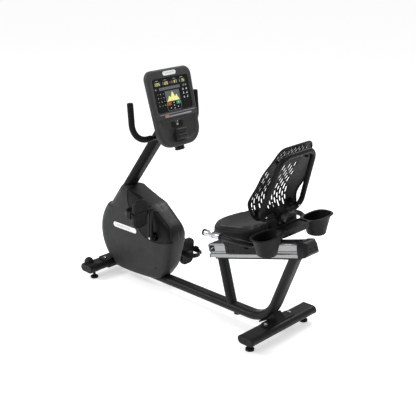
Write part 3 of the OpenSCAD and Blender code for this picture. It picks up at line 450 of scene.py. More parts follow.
def stadium(cx, cy, w, h, steps=5):
    """loop of a slot, w wide and h high, with round ends"""
    return soft_rect(cx, cy, w, h, min(w, h) / 2, steps)


def cad_look(material, nodes, width=0.8, angle=35):
    for n in nodes.split():
        o = NODES[n]
        o.data.materials.clear()
        o.data.materials.append(M[material])
        o.data.polygons.foreach_set("use_smooth", [True] * len(o.data.polygons))
        bevel(o, width, angle, 2, weld=True)


# ------------------------------------------------------------------ carried CAD nodes

for material, nodes, *values in (
        ("frame", "main_frame front_seat_post rear_stabiliser front_stabiliser", 0.6),
        # the mast takes the darker copy of the frame's powder coat, which is painted shade
        ("mast", "console_mast", 0.6),
        ("bracket", "stabiliser_brackets carriage handlebar_clamp back_bracket", 1.2),
        ("end_cap", "stabiliser_caps", 2.5),
        ("bright", "stabiliser_bolts", 0.8),
        ("black_steel", "pedal_spindles crank_bolts", 0.8),
        ("foot", "levelling_feet", 1.2),
        ("wheel", "transport_wheel_left transport_wheel_right", 1.5),
        ("black_paint", "drive_frame back_bar rail_under_plate", 1.6),
        ("black_paint", "crank_arm_left crank_arm_right", 1.6),
        ("steel", "crank_axle crank_bearings flywheel_axle", 0.5),
        ("iron", "flywheel", 1.0),
        ("belt_wheel", "drive_pulley belt_idler", 0.6),
        ("belt", "drive_belt", 0.4),
        ("black_steel", "shroud_screws", 0.5),
        ("alu", "seat_rail", 0.7),
        ("pan", "rail_track seat_lock_lever", 0.6),
        ("pan", "seat_pan", 3.0),
        ("cap", "rail_end_caps", 4.0, 28),
        ("glide", "carriage_glides", 0.6),
        ("shoe", "brake_shoe", 0.5),
        ("pan", "grip_collars", 1.5),
        ("button", "console_button", 1.0)):
    cad_look(material, nodes, *values)


# ------------------------------------------------------------------ tubes

BAR_X, BAR_HALF, BAR_TOP, BAR_LOW = -245, 241, 1137, 930
BAR_R, FOAM_R = 13.0, 17.0


def handlebar():
    """U-shaped bar under the console, with a foam sleeve over each arm"""
    top = [BAR_X - 11, -BAR_HALF, BAR_TOP]
    low = [BAR_X + 5, -BAR_HALF, BAR_LOW]
    mid = np.array([BAR_X + 13, 0, BAR_LOW], float)
    side = mid + [0, -50, 0]
    run = [np.array(top, float)] + round_corner(top, low, mid, 95, 20)
    path = run + [side]
    v, f = sweep(resample(path + mirrored(path), 7), BAR_R, seg=24)
    piece("handlebar_tube", v, f, "base", "handlebar", "black_paint", replaces=["handlebar"])
    step = 4
    sleeve = resample(run + [run[-1] + 0.35 * (side - run[-1])], step)
    d = np.arange(len(sleeve)) * float(step)
    r = FOAM_R - 1.2 * np.exp(-d / 3.0) - 2.0 * np.exp(-(d[-1] - d) / 3.0)
    tidy(joined("handlebar_foam", [(sweep(sleeve, r, seg=32, dome=3.5), 0),
                                   (sweep(mirrored(sleeve), r[::-1], seg=32, dome=3.5), 0)],
                "base", "handlebar_grips", "foam", replaces=["handlebar_grips"]))


HANDLE_X, HANDLE_Y, HANDLE_Z, HANDLE_R = 318, 267, 577, 14
CROSS_X, CROSS_Z = 556, 540
GRIP_RISE = math.radians(1.9)


def seat_handle():
    """U-shaped tube around the seat's rear, with a bright plate pair on each end"""
    a = [HANDLE_X, -HANDLE_Y, HANDLE_Z]
    b = [500, -HANDLE_Y, HANDLE_Z + 6]
    path = [np.array(a, float)]
    path += round_corner(a, b, [546, -HANDLE_Y + 40, HANDLE_Z - 8], 60, 10)
    path += round_corner(b, [CROSS_X, -HANDLE_Y + 60, HANDLE_Z - 18], [CROSS_X, 0, CROSS_Z], 50, 10)
    path += [np.array([CROSS_X, -60, CROSS_Z], float)]
    v, f = sweep(resample(path + mirrored(path), 8), HANDLE_R, seg=28, dome=2)
    piece("seat_handle_tube", v, f, "seat_body", "seat_handle", "black_paint",
          replaces=["seat_handle"])
    d = unit([math.cos(GRIP_RISE), 0, math.sin(GRIP_RISE)])
    # two half sleeves with a joint line between them, as (place along the tube, radius)
    profile = ((-8, 14.6), (-7.4, 15.7), (-6.4, 16), (41, 16), (41.6, 15.3), (43.4, 15.3),
               (44, 16), (90.4, 16), (91.4, 15.7), (92, 14.6))
    parts = []
    for s in (-1, 1):
        o = np.array([HANDLE_X, s * HANDLE_Y, HANDLE_Z], float)
        parts.append((sweep([o + d * u for u, _ in profile], [r for _, r in profile], seg=40,
                            side=(0, 1, 0)), 0))
    tidy(joined("grip_plates", parts, "seat_body", "grip_sleeves", "grip",
                replaces=["grip_sleeves"]))


LEAD_R = 3.3


def leads():
    """thin sensor leads from under the side grips to the carriage, held at both ends"""
    a = [413, -HANDLE_Y + 10, HANDLE_Z - 17]
    b = [392, -200, 498]
    path = [np.array(a, float)] + round_corner(a, b, [318, -96, 470], 40, 10)
    path += round_corner(b, [300, -80, 468], [262, -64, 478], 22, 8)
    path += [np.array([262, -64, 478], float)]
    run = resample(path, 5)
    for tag, line in (("left", run), ("right", run * np.array([1, -1, 1]))):
        v, f = sweep(line, LEAD_R, seg=14)
        lead = tidy(piece("grip_lead_" + tag, v, f, "seat_body", "grip_leads", "cable",
                          replaces=["grip_leads"]))
        # ribbed strain relief where the lead enters the carriage
        v, f = sweep([line[-1] + (line[-4] - line[-1]) * i / 8 for i in range(9)],
                     [3.4, 5.2, 5.4, 4.6, 4.9, 4.2, 4.5, 3.8, 3.4], seg=14)
        boot = tidy(piece("grip_lead_boot_" + tag, v, f, "seat_body", "grip_leads", "cable"))


RING_X, RING_Z, RING_LEAN, RING_R = 559, 657, math.radians(17.9), 14


def on_ring(x, y, z):
    """point x behind the plane of the backrest ring, y across it and z up it"""
    return (RING_X + x * math.cos(RING_LEAN) + z * math.sin(RING_LEAN), y,
            RING_Z - x * math.sin(RING_LEAN) + z * math.cos(RING_LEAN))


def ring_frame():
    top, bottom, h, r = 127, 163, 358, 14
    cor = [[0, top, h], [0, bottom, r], [0, -bottom, r], [0, -top, h]]
    rad = [62, 50, 50, 62]
    path = []
    for i in range(4):
        path += round_corner(cor[i - 1], cor[i], cor[(i + 1) % 4], rad[i], 14)
    out = [on_ring(*p) for p in path]
    v, f = sweep(resample(out + [out[0]], 9)[:-1], RING_R, closed=True, seg=26)
    piece("back_ring", v, f, "seat_body", "back_frame", "black_paint", replaces=["back_frame"])


handlebar()
seat_handle()
leads()
ring_frame()


# ------------------------------------------------------------------ shroud

# discs of the shroud in x and z: radius, how much the edge rounds in, half thickness
PILLOWS = [(-522.4, 270, 256, 66, 78), (-545, 473, 112, 66, 78), (-512, 552, 31, 8, 76),
           (-368, 398, 126, 12, 77), (-245, 345, 98, 22, 72), (-292, 200, 104, 22, 69),
           (-275, 88, 18, 10, 64)]
COVER = [(-499, 660), (-499, 575), (-395, 541), (-293, 493), (-200, 443), (-165, 385),
         (-152, 326), (-60, 326), (-60, 660)]
INSERT = [(-499, 574), (-482, 473), (-420, 372), (-350, 318), (-254, 306), (-153, 325),
          (-166, 384), (-201, 442), (-294, 492), (-396, 540)]
MAST_FOOT, MAST_DIR = (-664.6, 425), (0.603, 0.798)
NOTCH_Z = 438
CRANK_X, CRANK_Z, CRANK_HOLE = -270, 343, 27


def smooth_loop(poly, keep, step=12):
    """Catmull-Rom through a closed outline, sharp at the corners named in keep"""
    out = []
    n = len(poly)
    for i in range(n):
        p1, p2 = np.array(poly[i], float), np.array(poly[(i + 1) % n], float)
        p0 = np.array(poly[i - 1], float) if i not in keep else p1 - (p2 - p1)
        p3 = np.array(poly[(i + 2) % n], float) if (i + 1) % n not in keep else p2 + (p2 - p1)
        k = max(1, int(np.linalg.norm(p2 - p1) / step))
        for s in range(k):
            t = s / k
            out.append(0.5 * ((2 * p1) + (p2 - p0) * t + (2 * p0 - 5 * p1 + 4 * p2 - p3) * t * t
                              + (3 * p1 - p0 - 3 * p2 + p3) * t ** 3))
    return [tuple(p) for p in out]


def inside(poly, x, z):
    c = False
    for i in range(len(poly)):
        (x1, z1), (x2, z2) = poly[i - 1], poly[i]
        if (z1 > z) != (z2 > z) and x < (x2 - x1) * (z - z1) / (z2 - z1) + x1:
            c = not c
    return c


def mesh_of(bm, name):
    bmesh.ops.recalc_face_normals(bm, faces=bm.faces)
    me = bpy.data.meshes.new(name)
    bm.to_mesh(me)
    bm.free()
    return me


def shroud_hull():
    bm = bmesh.new()
    for x, z, r, e, h in PILLOWS:
        for i in range(72):
            t = 2 * math.pi * i / 72
            for k in range(25):
                a = math.radians(-90 + 7.5 * k)
                rr = max(r - e * (1 - math.cos(a)), 1)
                bm.verts.new(((x + rr * math.cos(t)) * MM, h * math.sin(a) * MM,
                              (z + rr * math.sin(t)) * MM))
    bmesh.ops.convex_hull(bm, input=bm.verts, use_existing_faces=False)
    bmesh.ops.delete(bm, geom=[v for v in bm.verts if not v.link_faces], context="VERTS")
    return mesh_of(bm, "hull")


def prism(bm, ends):
    """closed prism between two rings of vertices"""
    bm.faces.new(ends[0])
    bm.faces.new(ends[1])
    for k in range(len(ends[0])):
        bm.faces.new((ends[0][k - 1], ends[0][k], ends[1][k], ends[1][k - 1]))


def prisms(poly, low=-200, high=200):
    """closed prism over an outline in x and z, from y = low to y = high"""
    bm = bmesh.new()
    prism(bm, [[bm.verts.new((x * MM, y * MM, z * MM)) for x, z in poly] for y in (low, high)])
    return mesh_of(bm, "prism")


def modified(me, *steps):
    """the mesh after modifiers, each given as (type, values)"""
    o = bpy.data.objects.new("work", me)
    bpy.context.scene.collection.objects.link(o)
    others = []
    for kind, values in steps:
        m = o.modifiers.new(kind, kind)
        for k, v in values.items():
            if k == "object":
                v = bpy.data.objects.new("tool", v)
                bpy.context.scene.collection.objects.link(v)
                others.append(v)
            setattr(m, k, v)
    bpy.context.view_layer.update()
    dg = bpy.context.evaluated_depsgraph_get()
    out = bpy.data.meshes.new_from_object(o.evaluated_get(dg))
    for x in [o] + others:
        bpy.data.objects.remove(x)
    return out


def cut(me, tool, how="DIFFERENCE"):
    return modified(me, ("BOOLEAN", {"operation": how, "solver": "EXACT", "object": tool}))


def boot_cutter():
    """all that stands outside a half ellipse around the mast, from NOTCH_Z up"""
    d = np.array(MAST_DIR)
    n = np.array([-d[1], d[0]])
    arc = [(-47 + 79 * math.sin(t), -78.6 * math.cos(t))
           for t in [math.pi * k / 36 for k in range(37)]]
    plan = [(-47, -200)] + arc + [(-47, 200), (300, 200), (300, -200)]
    bm = bmesh.new()
    ends = [[], []]
    for a, y in plan:
        p = np.array(MAST_FOOT) + a * n
        low = p + d * ((NOTCH_Z - p[1]) / d[1])
        for k, q in enumerate((low, low + 420 * d)):
            ends[k].append(bm.verts.new((q[0] * MM, y * MM, q[1] * MM)))
    prism(bm, ends)
    return mesh_of(bm, "boot")


def shroud():
    """both halves, the top cover and the recessed inserts, all cut from one smooth body"""
    body = modified(shroud_hull(), ("REMESH", {"mode": "VOXEL", "voxel_size": 0.007}),
                    ("SMOOTH", {"factor": 0.5, "iterations": 22}))
    body = cut(body, boot_cutter())
    body = cut(body, prisms([(-1000, -60), (-50, -60), (-50, 62), (-1000, 62)]))
    body = modified(body, ("REMESH", {"mode": "VOXEL", "voxel_size": 0.0055}),
                    ("SMOOTH", {"factor": 0.5, "iterations": 4}))
    body = cut(body, prisms([(-900, 0), (0, 0), (0, 800), (-900, 800)], -300, 0), "INTERSECT")
    cover, insert = smooth_loop(COVER, {0, 1, 6, 7, 8}), smooth_loop(INSERT, {0, 5})
    hole = [(CRANK_X + CRANK_HOLE * math.cos(t), CRANK_Z + CRANK_HOLE * math.sin(t))
            for t in [2 * math.pi * k / 40 for k in range(40)]]
    side = cut(body, prisms(cover))
    side = cut(side, prisms(insert, -200, -41))
    side = cut(side, prisms(hole, -200, 30))
    side = cut(side, prisms([(-1000, 0), (-634, 0), (-634, 108), (-1000, 108)], -124, 30))
    lid = cut(body, prisms(cover), "INTERSECT")
    inner = body.copy()
    for v, src in zip(inner.vertices, body.vertices):
        v.co = src.co - src.normal * 2.4 * MM
    panel = cut(cut(inner, prisms(insert, -200, -42), "INTERSECT"), prisms(hole, -200, 30))
    for me, nodes, mat in ((side, ("shroud_left", "shroud_right"), "shroud"),
                           (lid, ("shroud_top_cover",), "cover"),
                           (panel, ("side_inserts",), "insert")):
        left = ([tuple(q.co / MM) for q in me.vertices],
                [tuple(p.vertices) for p in me.polygons])
        right = ([(x, -y, z) for x, y, z in left[0]], flipped(left)[1])
        groups = [[(left, 0)], [(right, 0)]] if len(nodes) == 2 else [[(left, 0), (right, 0)]]
        for node, parts in zip(nodes, groups):
            bevel(tidy(joined(node + "_skin", parts, "base", node, mat, replaces=[node])), 1.0, 50)


shroud()


# ------------------------------------------------------------------ console

CON_X, CON_Z, CON_LEAN = -188.5, 1162, math.radians(15)
CO, SO = math.cos(CON_LEAN), math.sin(CON_LEAN)
CONSOLE = [(-116, 89, 48), (116, 89, 48), (-60, -185, 95), (60, -185, 95)]
FACE, BACK_FACE = 6.2, -55.4


def con(m, u, y):
    """point m out of the console's face plane, u up it and y across, in millimetres"""
    return (CON_X + m * CO - u * SO, y, CON_Z + m * SO + u * CO)


def on_con(loop, m):
    """a loop of (across, up) points at height m over the console's face"""
    return [con(m, u, y) for y, u in loop]


def badges():
    """plain name plates: one on each half of the shroud and one on the console"""
    parts = []

    def plate(place, outline, levels, bars):
        parts.append((loft([[place(d, a, b) for a, b in stadium(*outline, w, h, 8)]
                            for w, h, d in levels], cap_first=False), 0))
        for x, y, h, rows in bars:
            parts.append((loft([[place(d, a, b) for a, b in stadium(x, y, w, h, 5)]
                                for w, d in rows], cap_first=False), 1))
    for s in (-1, 1):
        plate(lambda d, a, b: (a, s * d, b), (-521, 334),
              ((200, 31, 77.6), (200, 31, 78.7), (198, 29, 79.3), (192, 23, 79.4), (190, 21, 78.9)),
              [(-533, z, 3.4, ((118, 78.6), (118, 79.2), (116, 79.3))) for z in (337.6, 330.4)])
    plate(lambda d, a, b: con(d, b, a), (0, 112),
          ((96, 23, 6.4), (96, 23, 7.8), (94, 21, 8.5), (89, 16, 8.6), (87, 14, 8.2)),
          [(0, 112, 4.2, ((60, 8.0), (60, 8.5), (59, 8.6)))])
    tidy(joined("badge_plates", parts, "base", "badges", ["badge", "badge_inner"],
                replaces=["badges"]))


def console_face(pts, nrm):
    """bezel with a recess for the screen and a scooped pocket, and a ledge across it"""
    def edge(inset):
        return [tuple(p - n * inset) for p, n in zip(pts, nrm)]

    wall = ((4, -21.6), (1.2, -21.6), (0.3, -20.8), (0, -18), (0, -6), (0.8, -1.5), (2.6, 1.8),
            (5.2, 4.2), (8.6, 5.7), (12.5, FACE))
    parts = [(loft([on_con(edge(i), m) for i, m in wall], False, False), 0)]
    w, h, r = 262, 182, 14
    split = -132.0
    low = sorted([p for p in edge(27) if p[1] < split - 0.01],
                 key=lambda p: math.atan2(p[0], split - p[1]))
    pocket = [(low[0][0], split)] + low + [(low[-1][0], split)]
    flat, faces = flat_fill([edge(12.5), soft_rect(0, 0, w, h, r, 6), pocket])
    parts.append(((on_con([p[:2] for p in flat], FACE), faces), 0))
    parts.append((loft([on_con(soft_rect(0, 0, w - 2 * i, h - 2 * i, r - i, 6), m)
                        for i, m in ((0, FACE), (0.4, 5.4), (0.6, 1.6), (1.0, 1.2))],
                       False, False), 0))
    # the pocket's wall shrinks towards a middle point, down to a dished floor
    mid = np.array([0, -205.0])
    dish = ((0, FACE), (0.01, 5.6), (0.025, 3.6), (0.05, 0.2), (0.09, -3.4), (0.15, -5.9),
            (0.24, -7.2), (0.38, -7.6), (0.6, -7.8), (0.85, -7.9))
    parts.append((loft([on_con(mid + (np.array(pocket) - mid) * (1 - k), m) for k, m in dish],
                       cap_first=False), 0))
    # raised blocks: middle, corner radius and steps, (width, height, level) rows, material
    for y, u, r, steps, rows, k in (
            (0, -110, 7, 5, ((300, 30, 6.0), (300, 30, 9.5), (299, 28, 12.0), (296, 24, 13.6),
                             (291, 19, 14.2)), 1),
            (4, -114, 2.5, 3, ((196, 8, 13.8), (196, 8, 14.7), (195, 8, 14.9)), 2),
            (-80, -108, 2, 3, ((27, 7, 13.8), (27, 7, 14.9), (26, 7, 15.1)), 3),
            (0, -100.5, 1, 3, ((262, 2.4, 13.9), (262, 2.4, 14.4), (261, 2.4, 14.5)), 2)):
        parts.append((loft([on_con(soft_rect(y, u, w, h, r, steps), m) for w, h, m in rows],
                           cap_first=False), k))
    tidy(joined("console_face", parts, "base", "console_bezel",
                ["console", "ledge", "ledge_light", "orange"], replaces=["console_bezel"]))


def console_housing(pts, nrm):
    """rear housing with vents, and the ridged collar of the cable under it"""
    def ring(k, m, grow=0.0):
        """from the outline at k = 0 to a soft rectangle at k = 1"""
        loop = []
        for p, n in zip(pts, nrm):
            c = np.array([max(-30, min(30, p[0])), max(-110, min(70, p[1]))])
            loop.append((p - n * 1.5) * (1 - k) + (c + (60 + grow) * n) * k)
        return on_con(loop, m)
    rows = ((0, -21.8), (0.02, -23.5), (0.12, -27), (0.3, -33), (0.52, -40), (0.74, -47),
            (0.9, -52), (0.97, -54.4), (1.0, BACK_FACE))
    parts = [(loft([ring(k, m) for k, m in rows], False, False), 0),
             (loft([ring(1.0, BACK_FACE), ring(1.0, -55.9, -3), ring(1.0, -56, -14)],
                   cap_first=False), 0)]
    for k in range(7):
        parts.append((loft([on_con(stadium(0, 40 - 9 * k, 84 - i, 3.4 - i, 4), m)
                            for i, m in ((0, -55.8), (0, -57.2), (0.8, -57.6))],
                           cap_first=False), 1))
    tidy(joined("console_housing", parts, "base", "console_back", ["console_dark", "pan"],
                replaces=["console_back"]))
    v, f = loft([[con(m - 30, u - 20, y + 6) for y, m in soft_rect(0, 0, 54 - k, 30 - k, 5, 4)]
                 for u, k in ((-240, 0), (-262, 0), (-263, 4), (-266, 4), (-267, 0), (-271, 0),
                              (-272, 4), (-275, 4), (-276, 0), (-280, 0), (-281, 3), (-284, 8))])
    tidy(piece("console_cable_collar", v, f, "base", "console_back", "pan"))


PANEL = ["overlay", "lcd_dark", "lit", "legend", "red", "lcd", "legend_white", "console_dark",
         "orange", "green"]
SEGMENTS = {0: "abcdef", 1: "bc", 2: "abged", 3: "abgcd", 5: "afgcd", 7: "abc", 8: "abcdefg"}
FILM, POCKET_FILM = 1.2, -7.0


def console_graphics():
    """printed film with plain digits, keys and a three-peak profile"""
    parts = []

    def add(mesh, look):
        parts.append((mesh, PANEL.index(look)))

    def plate(y, u, w, h, r, m, look, t=0.35):
        add(loft([on_con(soft_rect(y, u, w - i, h - i, max(r - i / 2, 0.2), 3), top)
                  for i, top in ((0, m - 0.3), (0, m + t - 0.1), (0.4, m + t))],
                 cap_first=False), look)

    def frame_line(y, u, w, h, r, m, look, t=1.3):
        add(loft([on_con(soft_rect(y, u, w - i, h - i, rr, 4), m + 0.3)
                  for i, rr in ((0, r), (2 * t, max(r - t, 0.3)))], False, False), look)

    def digit(y, u, w, h, num, m, look, t=2.2):
        hw, hh = w / 2, h / 2
        bars = {"a": (0, hh, w, t), "g": (0, 0, w, t), "d": (0, -hh, w, t),
                "f": (-hw, hh / 2, t, hh), "b": (hw, hh / 2, t, hh),
                "e": (-hw, -hh / 2, t, hh), "c": (hw, -hh / 2, t, hh)}
        for s in SEGMENTS[num]:
            dy, du, bw, bh = bars[s]
            plate(y + dy, u + du, bw, bh, 0.8, m, look, 0.2)

    F = FILM
    plate(0, 0, 259, 179, 12.5, F - 0.3, "overlay", 0.3)
    # four read-outs along the top
    for y, nums, lamp in ((-92, (2, 0, 5), "lit"), (-34, (1, 2, 0), "legend"),
                          (32, (8, 7), "legend"), (88, (3, 5), "lit")):
        plate(y, 61, 47, 22, 2, F, "lcd_dark")
        for j, d in enumerate(nums):
            digit(y + 11 + (j - len(nums) + 1) * 11.0, 61, 6.0, 13, d, F + 0.35, "lit")
        digit(y - 19, 61, 4.6, 13, 8, F + 0.35, "legend", 1.4)
        plate(y, 78.5, 17, 3.2, 1.2, F, "legend", 0.1)
        plate(y - 11, 78.5, 3, 3, 1.4, F, lamp, 0.15)
    plate(-1, 61, 7, 8, 3.4, F, "red")
    # message bar and small keys beside it
    plate(-12, 34, 152, 15, 2, F, "lcd", 0.4)
    for y in (-112, 92, 108):
        frame_line(y, 34, 12, 10, 3, F, "legend", 0.9)
        plate(y, 34, 5, 3, 1, F, "legend_white", 0.15)
    # middle screen with its three-peak profile
    plate(0, -9, 104, 56, 2.5, F, "lcd", 0.4)
    top = []
    for j in range(53):
        y = -46 + 92 * j / 52
        h = 7 + sum(a * math.exp(-((y - c) / w) ** 2)
                    for a, c, w in ((40, 0, 13), (19, -26, 7.5), (22, 27, 8.5)))
        top.append((y, -35 + h * min(1, (46 - abs(y)) / 7)))
    for a, b in zip(top[:-1], top[1:]):
        add((on_con([(a[0], -36), (b[0], -36), b, a], F + 0.55), [(0, 1, 2, 3)]), "lit")
    # number keys on the left, program keys on the right
    for r in range(4):
        for c in range(3):
            y, u = -104 + 20 * c, 8 - 20 * r
            frame_line(y, u, 13, 11, 3.5, F, "console_dark", 0.5)
            plate(y, u, 3.0, 5.0, 0.9, F, "legend_white" if (r + c) % 2 else "legend", 0.15)
    for r in range(3):
        for c in range(2):
            y, u = 84 + 24 * c, 13 - 21 * r
            plate(y, u - 2, 9, 4.5, 1.6, F, "legend_white", 0.2)
            plate(y + (2 if c else -1), u + 3.5, 4.4, 5, 2, F, "legend_white", 0.2)
    # framed keys under the screen
    frame_line(0, -62, 104, 50, 12, F, "legend", 1.2)
    frame_line(-34, -49, 30, 17, 3, F + 0.1, "orange", 2.6)
    plate(-34, -49, 17, 6, 2, F, "orange", 0.3)
    plate(34, -49, 32, 18, 3, F + 0.1, "green", 0.4)
    plate(34, -49, 8, 6, 2, F + 0.5, "legend_white", 0.2)
    for y, u in ((0, -47), (0, -62), (0, -77), (-26, -73), (27, -72)):
        plate(y, u, 6.5, 5.5, 2, F, "legend_white", 0.2)
        frame_line(y, u, 13, 11, 4, F, "console_dark", 0.5)
    # small panel in the lower pocket
    P = POCKET_FILM
    plate(0, -156, 84, 40, 4, P, "overlay", 0.5)
    plate(0, -148, 27, 17, 2, P + 0.5, "lcd_dark", 0.3)
    digit(3, -148, 6.0, 11, 1, P + 0.9, "lit")
    digit(-6, -148, 5.4, 11, 8, P + 0.9, "legend", 1.5)
    frame_line(0, -163, 16, 16, 8, P + 0.4, "legend", 1.0)
    joined("console_panel", parts, "base", "console_overlay", PANEL, smooth=False,
           replaces=["console_overlay"])


PADDLE_U, PADDLE_HALF_Y, PADDLE_HALF_U = -214, 44, 33


def paddle():
    """lower control block: rounded, with a finger groove across it"""
    n = 30

    def height(y, u):
        a = max(0.0, 1 - (abs(y) / PADDLE_HALF_Y) ** 6)
        b = max(0.0, 1 - (abs(u) / PADDLE_HALF_U) ** 6)
        groove = 7.5 * math.exp(-((u - 1) / 5.5) ** 2) * max(0.0, 1 - (abs(y) / 39) ** 6)
        slope = 23 + 5.0 * math.cos((u - 4) / PADDLE_HALF_U * 1.35)
        return 1.2 + (slope - groove) * (a * b) ** 0.35
    verts, faces = [], []
    for i in range(n + 1):
        for j in range(n + 1):
            y = PADDLE_HALF_Y * (2 * i / n - 1)
            u = PADDLE_HALF_U * (2 * j / n - 1)
            k = max(abs(y) / PADDLE_HALF_Y, abs(u) / PADDLE_HALF_U)
            if k > 0.5:
                square = k / math.hypot(y / PADDLE_HALF_Y, u / PADDLE_HALF_U)
                pull = 1 - (1 - square) * 0.22 * k ** 3
                y, u = y * pull, u * pull
            verts.append(con(height(y, u), PADDLE_U + u, y))
    row = n + 1
    faces = [(a, a + row, a + row + 1, a + 1)
             for i in range(n) for j in range(n) for a in [i * row + j]]
    rim = [i * row for i in range(row)] + [n * row + j for j in range(1, row)] \
        + [i * row + n for i in range(n - 1, -1, -1)] + list(range(n - 1, 0, -1))
    base, count = len(verts), len(rim)
    for x, y, z in [verts[r] for r in rim]:
        verts.append((x - 5 * CO, y, z - 5 * SO))
    faces += [(rim[k], base + k, base + (k + 1) % count, rim[(k + 1) % count])
              for k in range(count)]
    faces.append(tuple(base + k for k in range(count)))
    tidy(piece("console_paddle_cap", verts, faces, "paddle_body", "console_paddle", "console_dark",
               replaces=["console_paddle"]))


badges()
console_outline = hull_outline(CONSOLE, 6, 14)
console_face(*console_outline)
console_housing(*console_outline)
console_graphics()
paddle()


# ------------------------------------------------------------------ seat

CUSHION = [(337, -30, 134), (337, 30, 134), (375, -90, 133), (375, 90, 133), (453, -140, 84),
           (453, 140, 84), (482, -164, 55), (482, 164, 55), (486, -60, 49), (486, 60, 49)]
NOTCH_X, BAR_CLEAR_X, PAN_TOP = 526, 0.528, 0.5458


def crest(x):
    """height of the seam along the cushion's side"""
    return float(np.interp(x, [201, 240, 287, 384, 429, 490, 542],
                           [572, 577, 583, 600, 606, 616, 623]))


def underside(x):
    return float(np.interp(x, [201, 300, 367, 420, 496, 542], [553, 547, 546, 546, 548, 552]))


def evaluated(o):
    """the object's mesh after its modifiers"""
    bpy.context.view_layer.update()
    dg = bpy.context.evaluated_depsgraph_get()
    return bpy.data.meshes.new_from_object(o.evaluated_get(dg))


def set_points(me, co):
    me.vertices.foreach_set("co", co.astype(np.float32).ravel())
    me.update()


def puff(o, rest, cap):
    """blow the closed form up a little with cloth pressure, and cap how far it moves"""
    frames = 20
    c = o.modifiers.new("cloth", "CLOTH")
    c.settings.use_pressure = True
    c.settings.uniform_pressure_force = 4
    c.settings.effector_weights.gravity = 0
    c.settings.quality = 4
    c.point_cache.frame_start, c.point_cache.frame_end = 1, frames
    for k in range(1, frames + 1):
        bpy.context.scene.frame_set(k)
    me = evaluated(o)
    o.modifiers.clear()
    d = np.array([x.co for x in me.vertices]) - rest
    d *= np.minimum(1, cap / np.maximum(np.linalg.norm(d, axis=1), 1e-9))[:, None]
    set_points(me, rest + d)
    o.data = me
    bpy.context.scene.frame_set(1)


def cushion_form(pts, nrm):
    """closed lofted pad with a notch at the rear for the backrest bar"""
    rings = []
    for inset, k in ((30, 0), (12, 0), (5, 0.03), (2.5, 0.14), (0.5, 0.35), (0, 0.6), (1.5, 0.85),
                     (5, 0.97), (11, 1.03), (22, 1.06), (44, 1.04), (75, 0.98)):
        row = []
        for p, n in zip(pts, nrm):
            q = p - n * inset
            lo, hi = underside(p[0]), crest(p[0])
            z = lo + (hi - lo) * k
            if inset > 30:
                z = min(z, hi) - 0.10 * (inset - 22)
            row.append((q[0], q[1], z))
        rings.append(row)
    v, f = loft(rings)
    o = piece("seat_pad", v, f, "seat_body", "seat_cushion", "vinyl", replaces=["seat_cushion"])
    for vert in o.data.vertices:
        x, y, _ = vert.co / MM
        w = max(0.0, 1 - (abs(y) / 70.0) ** 2)
        lim = NOTCH_X + max(0.0, (abs(y) - 44) * 0.8)
        if x > lim:
            vert.co.x = (lim + (x - lim) * 0.15 * (1 - w)) * MM
    return tidy(o)


def cushion():
    pts, nrm = hull_outline(CUSHION, 6, 12)
    o = cushion_form(pts, nrm)
    rm = o.modifiers.new("remesh", "REMESH")
    rm.mode, rm.voxel_size, rm.use_smooth_shade = "VOXEL", 0.006, True
    me = evaluated(o)
    o.modifiers.clear()
    o.data = me
    puff(o, np.array([x.co for x in me.vertices]), 0.008)
    me = o.data
    co = np.array([x.co for x in me.vertices])
    # the pad is pinned flat where it sits on its pan, dished a little where a rider sits, and
    # stays clear of the backrest bar
    low = np.array([underside(x / MM) * MM for x in co[:, 0]])
    co[:, 2] = np.maximum(co[:, 2], np.maximum(low, PAN_TOP))
    r2 = ((co[:, 0] - 0.37) / 0.115) ** 2 + (co[:, 1] / 0.14) ** 2
    co[:, 2] -= 0.009 * np.exp(-r2) * np.clip((co[:, 2] - 0.57) / 0.01, 0, 1)
    near = np.abs(co[:, 1]) < 0.046
    co[:, 0] = np.where(near, np.minimum(co[:, 0], BAR_CLEAR_X), co[:, 0])
    set_points(me, co)
    me.polygons.foreach_set("use_smooth", [True] * len(me.polygons))
    me.materials.clear()
    me.materials.append(M["vinyl"])
    s = o.modifiers.new("smooth", "SMOOTH")
    s.factor, s.iterations = 0.5, 3
    d = o.modifiers.new("sub", "SUBSURF")
    d.levels = d.render_levels = 1
    seams(o, pts, nrm)


def seams(o, pts, nrm):
    """piping on the pad's upper and lower edges, and stitches above the upper one"""
    bpy.context.view_layer.update()
    ev = o.evaluated_get(bpy.context.evaluated_depsgraph_get())
    tree = BVHTree.FromPolygons([x.co.copy() for x in ev.data.vertices],
                                [tuple(p.vertices) for p in ev.data.polygons])

    def on_pad(p, lift):
        """nearest point of the pad, in millimetres, lifted off along its normal"""
        hit = tree.find_nearest(Vector(p) * MM)
        return np.array(hit[0]) / MM + np.array(hit[1]) * lift
    piping, stitches = [], []
    for level, radius in ((0.93, 2.3), (0.22, 1.7)):
        line = []
        for p, n in zip(pts, nrm):
            lo, hi = underside(p[0]), crest(p[0])
            line.append(on_pad((*(p + 6 * n), lo + (hi - lo) * level), 0.4))
        line = np.array(line)
        for _ in range(3):
            line = 0.25 * np.roll(line, -1, 0) + 0.5 * line + 0.25 * np.roll(line, 1, 0)
        loop = list(line) + [line[0]]
        piping.append((sweep(resample(loop, 6)[:-1], radius, closed=True, seg=10), 0))
        if level < 0.5:
            continue
        dense = resample(loop, 5.5)[:-1]
        for a, b in zip(dense, np.roll(dense, -1, 0)):
            q, t = on_pad((a + b) / 2 + [0, 0, 5.0], 0.35), unit(b - a) * 1.7
            stitches.append((sweep([q - t, q, q + t], [0.45, 0.75, 0.45], seg=6), 1))
    joined("seat_seams", piping + stitches, "seat_body", "seat_cushion", ["vinyl", "thread"])


cushion()


# ------------------------------------------------------------------ backrest shell

